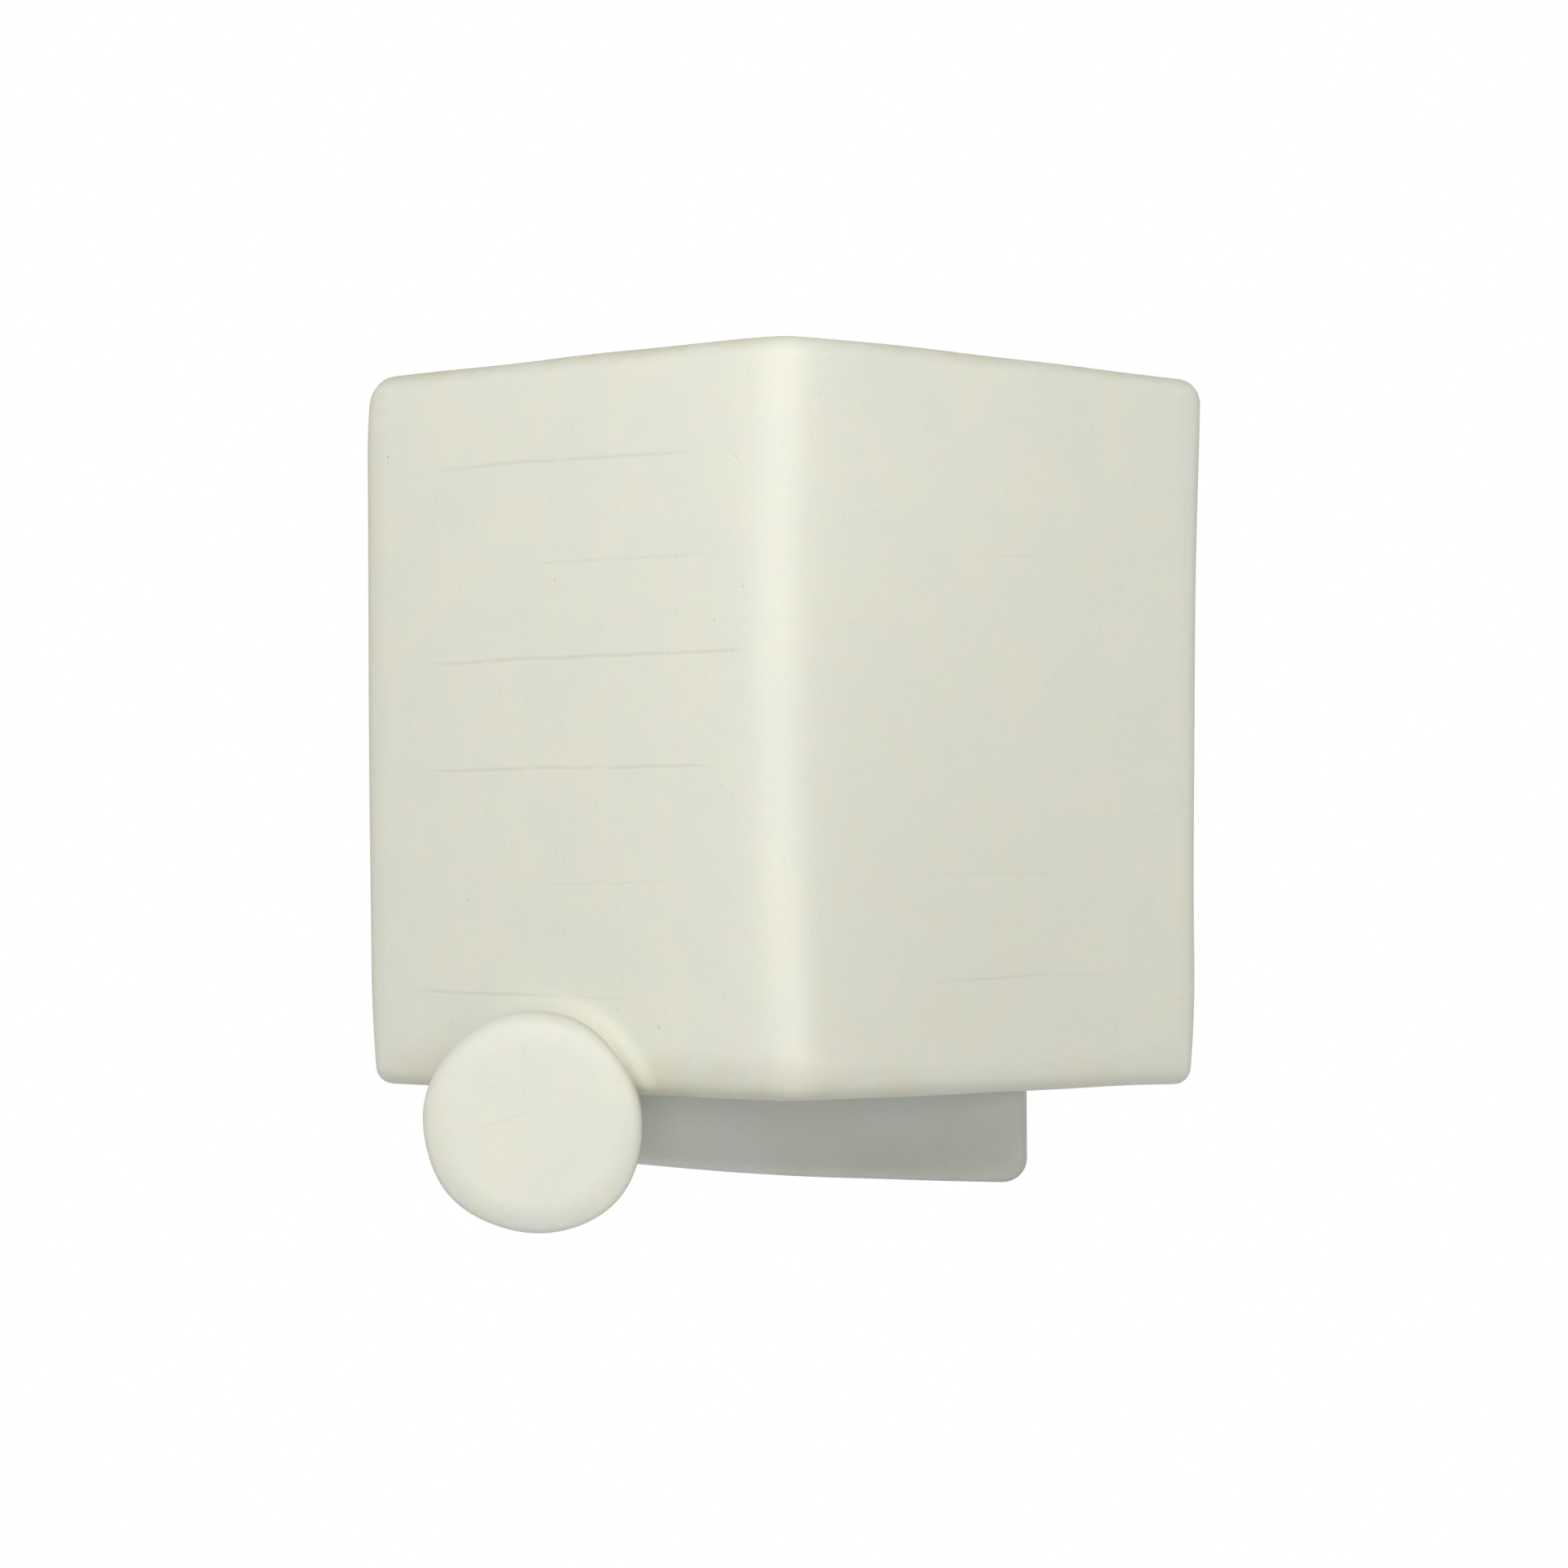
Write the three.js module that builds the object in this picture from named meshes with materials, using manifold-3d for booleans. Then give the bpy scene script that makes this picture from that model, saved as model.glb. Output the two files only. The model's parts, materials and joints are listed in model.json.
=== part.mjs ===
// A hand-built ceramic wall light. One slab of clay is folded to a V and shades a small upright lamp,
// and a clay disc in front of its lower left corner is the knob of a rotary dimmer.
// Millimetres, +Z up. The wall is the plane y = 0 and the light stands out towards -Y.
// The origin is the centre of the wall plate, on the wall. "out" is a distance from the wall.

import * as THREE from 'three';
import { mergeVertices } from 'three/addons/utils/BufferGeometryUtils.js';
import Module from 'manifold-3d';

const wasm = await Module();
wasm.setup();

// General
const seat = 0.3;                  // gap between pieces that rest on or in each other
const overrun = 1;                 // how far a cutting tool runs past the face it cuts
const weldTolerance = 0.001;

// Shade: the folded slab and the cross web inside it
const shadeWidth = 199.6;
const shadeFlare = 1.2;            // how much wider than that the top is, and narrower the bottom
const shadeHeight = 169.5;
const shadeLift = 30.3;            // the shade's middle above the wall plate's middle
const lampClearance = 3.74;        // from the lamp holder's ring to the wings; sets how sharp the fold is
const slabThickness = 8;
const ridgeRadius = 18;            // outside of the fold
const rearEdgeGap = 2.2;           // from the wings' rear edges to the wall
const topLeftCorner = 7;
const topRightCorner = 6;
const bottomLeftCorner = 4;
const bottomRightCorner = 4;
const topRightDrop = 0.7;          // the slab was cut by hand, so its top falls a little to the right,
const bottomCornerSag = 0.6;       // its lower free corners hang a little below the fold,
const rightEdgeBow = 0.9;          // its right edge is drawn in at half height,
const leftFootDraw = 1.5;          // and both edges are drawn in at the foot,
const rightFootDraw = 1.9;
const footDrawShare = 0.65;        // from this far down from the middle to the foot
const ridgeBow = 3.5;              // the fold's ends stand this far right of its middle,
const ridgeLean = 1.3;             // its foot is this far right of straight,
const ridgeSet = 2.2;              // and its middle is this far left of the plate's middle
const webThickness = 8;
const webTop = 70;
const webBelowArm = 2;             // how far the web goes on below the lamp bracket's arm

// Wall plate: a shallow tray that is open to the wall
const plateWidth = 116;
const plateHeight = 152;
const plateFrontWall = 6.5;
const plateRoom = 1.2;             // from the terminal block's front to the plate's front wall
const plateSideWall = 7;
const plateCornerRadius = 6;
const plateEdgeRadius = 2.5;
const plateLeftRise = 4.1;         // the hand-cut bottom edge is this much short on the left,
const plateMiddleDrop = 1;         // and this much long near the middle
const plateRightDrop = 2;          // and on the right
const plateMiddleShare = 0.14;     // of the way from the middle to the right side

// Drum under the knob, and the collar that blends it into the wing
const dimmerRoom = 2.3;            // from the dimmer's side to the drum's bore
const drumTaper = 1;               // the drum is this much slimmer at its rear
const drumWall = 5.2;
const drumFrontWall = 5;
const drumEdgeRadius = 2;
const drumRise = 0.5;              // the drum's face stands this proud of the wing beside it
const collarReach = 6;             // how far the collar's fillet runs out on the wing

// Knob: a slightly oval clay disc with a brass hub
const knobOverhang = 1.5;          // how much wider the knob is than the drum
const knobOval = 0.5;              // half the difference between its long and short radius
const knobOvalAngle = 133;         // degrees from +X to the long radius
const knobThickness = 12;
const knobEdgeRadius = 4.2;
const knobRunGap = 1;              // from the drum's face to the knob's back
const knobRecessRadius = 11;
const knobSkin = 2.4;              // clay left in front of the hub
const hubRadius = 6.5;
const hubFlangeRadius = 8;
const hubFlange = 0.8;
const hubRunGap = 0.7;             // from the bushing's end to the hub's flange

// Rotary dimmer
const spindleRadius = 3;
const spindleFlat = 1.5;           // depth of the flat that turns the hub
const bushingRadius = 5;
const bushingBeyondNut = 0.8;
const dimmerRadius = 16;
const dimmerDepth = 17;
const dimmerSocketDepth = 6;       // how deep the spindle reaches into the dimmer
const dimmerEdge = 0.9;            // chamfer on both its rims
const dimmerWasherRadius = 8;
const dimmerWasherThickness = 0.8;
const dimmerNutFlats = 14;
const dimmerNutHeight = 2;
const drumCapThickness = 2;
const drumCapRim = 6;
const drumCapWall = 1.6;

// Mounting bar, studs and nuts
const barGap = 3;                  // from the bar's ends to the plate's side walls
const barHeight = 18;
const barThickness = 2;
const barCornerRadius = 3;
const tongueMargin = 0.2;          // bar metal beside the terminal block
const tongueBelowBlock = 13.2;
const barSlotLength = 12;
const barSlotWidth = 5;
const barSlotInset = 20;           // from the stud to the wall screw's slot
const studShare = 5 / 6;           // of the way from the bar's middle to its end
const studRadius = 2.5;
const studHole = 3.2;
const lockNutFlats = 8;
const lockNutHeight = 4;
const washerRadius = 7;
const washerThickness = 1.2;
const capNutFlats = 8;
const capNutHexHeight = 4;
const capNutDomeRadius = 3.8;
const studGrip = 3.4;              // length of stud inside the cap nut

// Earth screw
const earthInset = 11;             // from the stud to the earth screw
const earthScrewRadius = 2;
const earthHeadRadius = 3.6;
const earthHeadHeight = 2.2;
const lugRadius = 3.8;
const lugThickness = 0.8;

// Terminal block, four ways
const wayCount = 4;
const wayPitch = 8;
const blockDepth = 8;
const blockHeight = 17;
const blockMargin = 0.8;           // plastic outside the outer ways
const mouthWidth = 5.6;
const mouthHeight = 3;
const mouthDepth = 4;
const blockScrewRadius = 1.4;
const blockScrewHeadRadius = 2.4;
const blockScrewHeadHeight = 1.4;

// Lamp bracket
const bracketWidth = 30;
const bracketThickness = 2;
const bracketBend = 3;             // outside radius of its bend
const bracketArmZ = -38;           // underside of the arm
const bracketLegHeight = 27;
const bracketArmBeyondLamp = 11;
const bracketScrewInset = 6;       // from the bracket's side
const bracketScrewUp = 17;         // above the underside of the arm
const bracketScrewRadius = 2;
const bracketScrewHeadRadius = 3.8;
const bracketNutFlats = 7;
const bracketNutHeight = 3.2;

// Lamp holder
const lampStandOff = 7.4;          // from the bracket's leg to the holder
const nippleRadius = 5;
const nippleBore = 3.7;
const nippleNutFlats = 14;
const nippleNutHeight = 2.6;
const nippleBelowNut = 1.6;
const nippleAboveArm = 9;
const holderRadius = 14;
const holderFootRadius = 10;
const holderWall = 2.2;
const holderShoulder = 11;
const holderRoom = 2.8;            // between the porcelain base and the skirt's spigot
const holderRingReach = 2.2;       // how far the skirt's ring stands out
const holderRingHeight = 5;
const shellRoom = 0.6;             // between the lamp's shell and the skirt
const skirtLip = 1.1;              // the skirt's top ends this far below the top of the glass neck
const holderJoint = 6;             // how far the skirt's spigot goes into the cap
const baseThickness = 8;

// Lamp
const shellRadius = 6.8;
const shellThreadDepth = 0.5;
const shellPitch = 2.8;
const shellTurns = 6;
const shellFlare = 0.8;            // how far the shell flares out to hold the glass
const shellFlareHeight = 3;
const contactRadius = 2.4;
const contactHeight = 2.2;
const glassRadius = 12.5;
const glassNeckInset = 0.4;        // the neck is this much slimmer than the shell's flare
const glassHeight = 64;
const glassNeck = 7;                // straight neck above the shell
const glassShoulder = 17;           // where the glass reaches its full width
const glassWall = 0.9;
const stemRadius = 2.6;
const stemHeight = 17;
const stemFlareGap = 1.1;          // from the stem's flare to the inside of the neck
const filamentRadius = 0.9;
const filamentSpread = 3.4;
const filamentHeight = 30;

// Insulated leads and grommets
const leadRadius = 1.1;
const leadGap = 0.4;               // between the two leads of a pair
const leadBend = 5;
const grommetEase = 0.5;           // round a pair of leads
const grommetWall = 1.3;
const grommetLip = 1.6;
const grommetFlange = 1.2;
const grommetBesideWall = 1.04;    // from the dimmer grommet's flange to the plate's left wall,
const grommetAboveWall = 8.24;     // and to its bottom wall
const lampLeadDrop = 7.5;          // how far below the nipple the lamp's leads run
const dimmerLeadAngle = 22;        // degrees from +X, where the leads pass beside the dimmer's axis
const dimmerLeadMargin = 0.3;      // from the cap's hole to the cap's rim

// Facets
const fineSides = 48;
const roundSides = 24;
const smallSides = 16;
const leadSides = 8;
const leadStep = 2;                // lead diameters to a step
const cornerSteps = 3;
const edgeSteps = 4;
const domeSteps = 6;
const ridgeSteps = 10;
const wingSteps = 4;
const heightSteps = 8;
const collarSteps = 5;
const collarColumns = 20;
const plateBevelSteps = 3;

// Finishes
const finishes = {
  clay: { color: 0xdfe0d2, roughness: 0.85, metalness: 0 },
  steel: { color: 0xb4b6b8, roughness: 0.4, metalness: 1 },
  brass: { color: 0xc9a45c, roughness: 0.3, metalness: 1 },
  fibre: { color: 0xa5473a, roughness: 0.8, metalness: 0 },
  black: { color: 0x1b1b1d, roughness: 0.5, metalness: 0 },
  white: { color: 0xeceae4, roughness: 0.5, metalness: 0 },
  porcelain: { color: 0xf0eee6, roughness: 0.3, metalness: 0 },
  glass: { color: 0xf6f7f5, roughness: 0.05, metalness: 0, transparent: true, opacity: 0.35 },
  filament: { color: 0xf2d27a, roughness: 0.6, metalness: 0 },
  brown: { color: 0x6a4630, roughness: 0.6, metalness: 0 },
  blue: { color: 0x2f5f9e, roughness: 0.6, metalness: 0 },
  grey: { color: 0x6f7276, roughness: 0.6, metalness: 0 },
  green: { color: 0x8fa63a, roughness: 0.6, metalness: 0 },
};

const degrees = Math.PI / 180;

// Places that follow from the sizes above: first the bar and the terminal block
const blockWidth = wayCount * wayPitch + 2 * blockMargin;
const blockBack = barThickness + seat;
const blockFront = blockBack + blockDepth;
const blockTop = -barHeight / 2 - blockMargin;
const blockBottom = blockTop - blockHeight;
const blockScrewZ = (blockTop + blockBottom) / 2;
const blockScrewPlaces = [-wayPitch, wayPitch];
const wayX = (way) => (way - (wayCount - 1) / 2) * wayPitch;
const leadOut = blockBack + blockDepth / 2;
const leadSpacing = 2 * leadRadius + leadGap;

const barWidth = plateWidth - 2 * (plateSideWall + barGap);
const studX = studShare * barWidth / 2;
const barSlotX = studX - barSlotInset;
const earthX = studX - earthInset;
const lugBack = barThickness + seat;
const earthHeadBack = lugBack + lugThickness + seat;

// Then the plate and the web, with what clamps them
const plateDepth = blockFront + plateRoom + plateFrontWall;
const webRear = plateDepth + seat;
const webFront = webRear + webThickness;
const webBottom = bracketArmZ - webBelowArm;
const lockNutBack = barThickness + seat;
const washerBack = webFront + seat;
const capNutBack = washerBack + washerThickness + seat;
const studFront = capNutBack + studGrip;

// Then the bracket, the holder and the lamp, from the bracket's arm up
const legBack = webFront + seat;
const legFront = legBack + bracketThickness;
const bracketScrewX = bracketWidth / 2 - bracketScrewInset;
const bracketScrewZ = bracketArmZ + bracketScrewUp;
const armTop = bracketArmZ + bracketThickness;
const nippleNutTop = bracketArmZ - seat;
const nippleFoot = nippleNutTop - nippleNutHeight - nippleBelowNut;
const nippleTop = armTop + nippleAboveArm;
const lampOut = legFront + lampStandOff + holderRadius;
const holderFoot = armTop + seat;
const baseFoot = holderFoot + holderShoulder + holderWall + seat;
const baseTop = baseFoot + baseThickness;
const spigotFoot = baseTop + holderRoom;
const skirtFoot = spigotFoot + holderJoint;
const holderCapTop = skirtFoot - seat;
const contactFoot = baseTop + seat;
const shellFoot = contactFoot + contactHeight + seat;
const shellThreadTop = shellFoot + shellTurns * shellPitch;
const shellTop = shellThreadTop + shellFlareHeight;
const shellFlareRadius = shellRadius + shellFlare;
const holderBore = shellFlareRadius + shellRoom;
const glassFoot = shellTop + seat;
const glassNeckRadius = shellFlareRadius - glassNeckInset;
const skirtTop = glassFoot + glassNeck - skirtLip;
const stemTop = glassFoot + stemHeight;
const lampGirth = Math.max(holderRadius + holderRingReach, glassRadius);

// Then the shade: its wings turn back from the wall's plane as far as the width and the lamp ask.
// The middle of a wing's round rear edge is (edgeX, edgeOut), and the middle surface of the wing
// passes the lamp's axis at lampToWing.
const halfSlab = slabThickness / 2;
const midRidgeRadius = ridgeRadius - halfSlab;
const widestHalf = (shadeWidth + shadeFlare) / 2;
const edgeX = widestHalf - halfSlab;
const edgeOut = rearEdgeGap + halfSlab;
const lampToWing = lampGirth + lampClearance + halfSlab;
const edgeToLamp = Math.hypot(edgeX, lampOut - edgeOut);
const wingTurn = Math.atan2(lampOut - edgeOut, edgeX) + Math.asin(lampToWing / edgeToLamp);
const wingRun = (edgeX - midRidgeRadius * Math.sin(wingTurn)) / Math.cos(wingTurn);
const slabHalfLength = midRidgeRadius * wingTurn + wingRun + halfSlab;
const ridgeRise = midRidgeRadius * (1 - Math.cos(wingTurn));
const shadeReach = edgeOut + wingRun * Math.sin(wingTurn) + ridgeRise + halfSlab;
const outerApex = shadeReach + ridgeRadius * (1 / Math.cos(wingTurn) - 1);
const innerApex = outerApex - slabThickness / Math.cos(wingTurn);
const shadeBottom = shadeLift - shadeHeight / 2;
const upShare = (z) => (z - shadeLift) / (shadeHeight / 2);   // from -1 at the foot to 1 at the top
const flareAt = (z) => 1 + shadeFlare * (upShare(z) - 1) / (2 * widestHalf);
const ridgeAt = (z) => ridgeBow * upShare(z) ** 2 - ridgeLean * upShare(z) - ridgeSet;
const innerHalfWidth = (out) => (innerApex - out) / Math.tan(wingTurn);
const outerHalfWidth = (out) => (outerApex - out) / Math.tan(wingTurn);

// How far out the left wing's outside is at a place
function leftWingOut(x, z) {
  const height = Math.max(z, shadeBottom);
  const straight = (x / flareAt(height) - ridgeAt(height)) / (1 + ridgeAt(height) / widestHalf);
  return outerApex + straight * Math.tan(wingTurn);
}

// Last the drum and the knob: the drum stands where its cap's hole meets the plate's grommet
const grommetBore = leadSpacing / 2 + leadRadius + grommetEase;
const grommetNeckRadius = grommetBore + grommetWall;
const grommetFlangeRadius = grommetNeckRadius + grommetLip;
const lampLeadZ = nippleFoot - lampLeadDrop;
const dimmerLeadX = -plateWidth / 2 + plateSideWall + grommetBesideWall + grommetFlangeRadius;
const dimmerLeadZ = -plateHeight / 2 + plateSideWall + grommetAboveWall + grommetFlangeRadius;
const drumBore = dimmerRadius + dimmerRoom;
const drumRadius = drumBore + drumWall;
const drumCapRadius = drumBore - seat;
const dimmerLeadRing = drumCapRadius - drumCapWall - dimmerLeadMargin - grommetBore;
const knobX = dimmerLeadX - dimmerLeadRing * Math.cos(dimmerLeadAngle * degrees);
const knobZ = dimmerLeadZ - dimmerLeadRing * Math.sin(dimmerLeadAngle * degrees);
const knobRadius = drumRadius + knobOverhang;
const drumRear = plateDepth + seat;
const drumFace = leftWingOut(knobX + knobRadius + knobOval, shadeBottom) + drumRise;
const drumInside = drumFace - drumFrontWall;
const drumCapOuter = drumRear + seat;
const dimmerFront = drumInside - seat;
const dimmerBack = dimmerFront - dimmerDepth;
const dimmerWasherBack = drumFace + seat;
const dimmerNutBack = dimmerWasherBack + dimmerWasherThickness + seat;
const bushingFront = dimmerNutBack + dimmerNutHeight + bushingBeyondNut;
const knobBack = drumFace + knobRunGap;
const knobFront = knobBack + knobThickness;
const hubBack = bushingFront + hubRunGap;
const recessFloor = hubBack + hubFlange + seat;
const hubFront = knobFront - knobSkin;

// Helpers

// Corners that meet are merged, slivers are dropped, and a mesh that is inside out is turned round
function welded(geometry) {
  const bare = geometry.clone();
  bare.deleteAttribute('normal');
  bare.deleteAttribute('uv');
  const merged = mergeVertices(bare, weldTolerance);
  const index = merged.index.array;
  const place = merged.attributes.position;
  const kept = [];
  let volume = 0;
  const a = new THREE.Vector3();
  const b = new THREE.Vector3();
  const c = new THREE.Vector3();
  for (let i = 0; i < index.length; i += 3) {
    const [i0, i1, i2] = [index[i], index[i + 1], index[i + 2]];
    if (i0 === i1 || i1 === i2 || i2 === i0) continue;
    a.fromBufferAttribute(place, i0);
    b.fromBufferAttribute(place, i1);
    c.fromBufferAttribute(place, i2);
    volume += a.dot(b.cross(c));
    kept.push(i0, i1, i2);
  }
  if (volume < 0) {
    for (let i = 0; i < kept.length; i += 3) [kept[i], kept[i + 1]] = [kept[i + 1], kept[i]];
  }
  merged.setIndex(kept);
  return merged;
}

function solid(geometry) {
  const merged = welded(geometry);
  return new wasm.Manifold(new wasm.Mesh({
    numProp: 3,
    vertProperties: new Float32Array(merged.attributes.position.array),
    triVerts: new Uint32Array(merged.index.array),
  }));
}

function fromSolid(manifold) {
  const mesh = manifold.getMesh();
  const geometry = new THREE.BufferGeometry();
  geometry.setAttribute('position', new THREE.BufferAttribute(mesh.vertProperties, 3));
  geometry.setIndex(new THREE.BufferAttribute(mesh.triVerts, 1));
  return geometry;
}

function cut(geometry, ...tools) {
  return fromSolid(tools.reduce((body, tool) => body.subtract(solid(tool)), solid(geometry)));
}

// A profile of [radius, out] points turned about an axis square to the wall
function turnedOut(profile, sides, x = 0, z = 0) {
  const points = profile.map(([radius, out]) => new THREE.Vector2(radius, -out));
  return new THREE.LatheGeometry(points, sides).translate(x, 0, z);
}

// A profile of [radius, height] points turned about an upright axis
function turnedUp(profile, sides, x = 0, y = 0) {
  const points = profile.map(([radius, height]) => new THREE.Vector2(radius, height));
  return new THREE.LatheGeometry(points, sides).rotateX(Math.PI / 2).translate(x, y, 0);
}

function rodOut(radius, from, to, sides, x = 0, z = 0) {
  return turnedOut([[0, from], [radius, from], [radius, to], [0, to]], sides, x, z);
}

function ringOut(inner, outer, from, to, sides, x = 0, z = 0) {
  return turnedOut([[inner, from], [outer, from], [outer, to], [inner, to], [inner, from]], sides, x, z);
}

// A flat outline in (x, z), as thick as from one distance off the wall to another
function slabOut(shape, from, to) {
  const geometry = new THREE.ExtrudeGeometry(shape, {
    depth: to - from, bevelEnabled: false, curveSegments: smallSides / 2,
  });
  return geometry.rotateX(Math.PI / 2).translate(0, -from, 0);
}

// A flat outline in (out, z), as wide as from one x to another
function slabAcross(shape, from, to) {
  const geometry = new THREE.ExtrudeGeometry(shape, {
    depth: to - from, bevelEnabled: false, curveSegments: smallSides / 2,
  });
  const across = new THREE.Matrix4().makeBasis(
    new THREE.Vector3(0, -1, 0), new THREE.Vector3(0, 0, 1), new THREE.Vector3(-1, 0, 0),
  );
  return geometry.applyMatrix4(across).translate(to, 0, 0);
}

function box(x0, x1, out0, out1, z0, z1) {
  return new THREE.BoxGeometry(x1 - x0, out1 - out0, z1 - z0)
    .translate((x0 + x1) / 2, -(out0 + out1) / 2, (z0 + z1) / 2);
}

// A closed outline through corner points, each corner rounded with its own radius
function roundedOutline(corners, radii) {
  const shape = new THREE.Shape();
  const count = corners.length;
  corners.forEach((corner, i) => {
    const before = corners[(i + count - 1) % count];
    const after = corners[(i + 1) % count];
    const start = corner.clone().add(before.clone().sub(corner).setLength(radii[i]));
    const end = corner.clone().add(after.clone().sub(corner).setLength(radii[i]));
    if (i === 0) shape.moveTo(start.x, start.y);
    else shape.lineTo(start.x, start.y);
    const round = new THREE.QuadraticBezierCurve(start, corner, end);
    round.getPoints(cornerSteps).slice(1).forEach((point) => shape.lineTo(point.x, point.y));
  });
  shape.closePath();
  return shape;
}

function hexagon(flats, x, z) {
  const radius = flats / 2 / Math.cos(Math.PI / 6);
  const shape = new THREE.Shape();
  for (let i = 0; i < 6; i += 1) {
    const angle = i * Math.PI / 3;
    const corner = [x + radius * Math.cos(angle), z + radius * Math.sin(angle)];
    if (i === 0) shape.moveTo(...corner);
    else shape.lineTo(...corner);
  }
  shape.closePath();
  return shape;
}

function nutOut(flats, bore, from, to, x, z) {
  const shape = hexagon(flats, x, z);
  shape.holes.push(new THREE.Path().absarc(x, z, bore, 0, 2 * Math.PI, true));
  return slabOut(shape, from, to);
}

// Quarter of a circle as [across, along] offsets, from (0, radius) round to (radius, 0)
function quarter(radius, steps) {
  return Array.from({ length: steps + 1 }, (_, i) => {
    const angle = i / steps * Math.PI / 2;
    return [radius * Math.sin(angle), radius * Math.cos(angle)];
  });
}

// Triangles over a grid of points that is rows long and columns wide; closed rows join end to start
function gridTriangles(rows, columns, first, flip) {
  const triangles = [];
  for (let i = 0; i < rows - 1; i += 1) {
    for (let j = 0; j < columns - 1; j += 1) {
      const a = first + i * columns + j;
      const [b, c, d] = [a + 1, a + columns, a + columns + 1];
      if (flip) triangles.push(a, c, b, b, c, d);
      else triangles.push(a, b, c, b, d, c);
    }
  }
  return triangles;
}

// Shade

// Grid lines from one edge of a sheet to its other edge: close together where the edge is rounded
function sheetLines(half, innerLines) {
  const rounded = Array.from({ length: edgeSteps + 1 }, (_, i) => (
    halfSlab * (1 - Math.cos(i / edgeSteps * Math.PI / 2))
  ));
  const start = rounded.map((inset) => -half + inset);
  const end = rounded.map((inset) => half - inset).reverse();
  return [...start, ...innerLines, ...end];
}

// The flat slab is carried along the fold: s runs across it, n is the way out of its middle surface
function folded(s, n, z) {
  const turn = THREE.MathUtils.clamp(s / midRidgeRadius, -wingTurn, wingTurn);
  const straight = Math.max(Math.abs(s) - midRidgeRadius * wingTurn, 0);
  const x = midRidgeRadius * Math.sin(turn) + Math.sign(s) * straight * Math.cos(wingTurn);
  const out = shadeReach - halfSlab - midRidgeRadius * (1 - Math.cos(turn)) - straight * Math.sin(wingTurn);
  return new THREE.Vector3(x + n * Math.sin(turn), -(out + n * Math.cos(turn)), z);
}

// The small departures of a slab that was cut and folded by hand
function handCut(point) {
  const side = point.x / widestHalf;
  const right = Math.max(side, 0);
  const height = upShare(point.z);
  const bow = rightEdgeBow * right * (1 - height ** 2);
  const foot = Math.max(-height - footDrawShare, 0) / (1 - footDrawShare);
  const draw = (side > 0 ? rightFootDraw : leftFootDraw) * foot ** 2 * side ** 3;
  const wander = ridgeAt(point.z) * (1 - Math.abs(side));
  const drop = topRightDrop * right ** 2 * Math.max(height, 0);
  const sag = bottomCornerSag * side ** 2 * Math.max(-height, 0);
  return [(point.x + wander) * flareAt(point.z) - bow - draw, point.y, point.z - drop - sag];
}

function foldedSlab() {
  const halfHeight = shadeHeight / 2;
  const ridgeHalf = midRidgeRadius * wingTurn;
  const wing = slabHalfLength - halfSlab - ridgeHalf;
  const rightWing = Array.from({ length: wingSteps - 1 }, (_, i) => ridgeHalf + wing * (i + 1) / wingSteps);
  const leftWing = rightWing.map((s) => -s).reverse();
  const ridge = Array.from({ length: ridgeSteps + 1 }, (_, i) => ridgeHalf * (2 * i / ridgeSteps - 1));
  const across = sheetLines(slabHalfLength, [...leftWing, ...ridge, ...rightWing]);
  const core = halfHeight - halfSlab;
  const heights = Array.from({ length: heightSteps - 1 }, (_, i) => core * (2 * (i + 1) / heightSteps - 1));
  const up = sheetLines(halfHeight, heights);

  const points = [];
  for (const side of [1, -1]) {
    for (const v of up) {
      for (const u of across) {
        // The corners are rounded by drawing squares in to quarter circles
        const radius = v > 0
          ? (u > 0 ? topRightCorner : topLeftCorner)
          : (u > 0 ? bottomRightCorner : bottomLeftCorner);
        const cornerU = Math.max(Math.abs(u) - (slabHalfLength - radius), 0);
        const cornerV = Math.max(Math.abs(v) - (halfHeight - radius), 0);
        const drawn = cornerU && cornerV ? Math.max(cornerU, cornerV) / Math.hypot(cornerU, cornerV) : 1;
        const s = Math.sign(u) * (Math.abs(u) - cornerU * (1 - drawn));
        const z = Math.sign(v) * (Math.abs(v) - cornerV * (1 - drawn));
        // The edges are fully round, so the thickness falls to nothing there
        const inset = Math.min(slabHalfLength - Math.abs(u), halfHeight - Math.abs(v), halfSlab);
        const n = side * Math.sqrt(Math.max(halfSlab ** 2 - (halfSlab - inset) ** 2, 0));
        points.push(...handCut(folded(s, n, z + shadeLift)));
      }
    }
  }
  const count = up.length * across.length;
  const triangles = [
    ...gridTriangles(up.length, across.length, 0, false),
    ...gridTriangles(up.length, across.length, count, true),
  ];
  const geometry = new THREE.BufferGeometry();
  geometry.setAttribute('position', new THREE.Float32BufferAttribute(points, 3));
  geometry.setIndex(triangles);
  return geometry;
}

// The web runs from inner face to inner face and a little way into both wings
function crossWeb() {
  const half = (3 * innerHalfWidth(webRear) + outerHalfWidth(webFront)) / 4;
  return box(-half, half, webRear, webFront, webBottom, webTop);
}

function drumOutside() {
  const edge = quarter(drumEdgeRadius, edgeSteps).map(([across, along]) => [
    drumRadius - drumEdgeRadius + across, drumFace - drumEdgeRadius + along,
  ]);
  const profile = [[0, drumFace], ...edge, [drumRadius - drumTaper, drumRear], [0, drumRear]];
  return turnedOut(profile, fineSides, knobX, knobZ);
}

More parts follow.
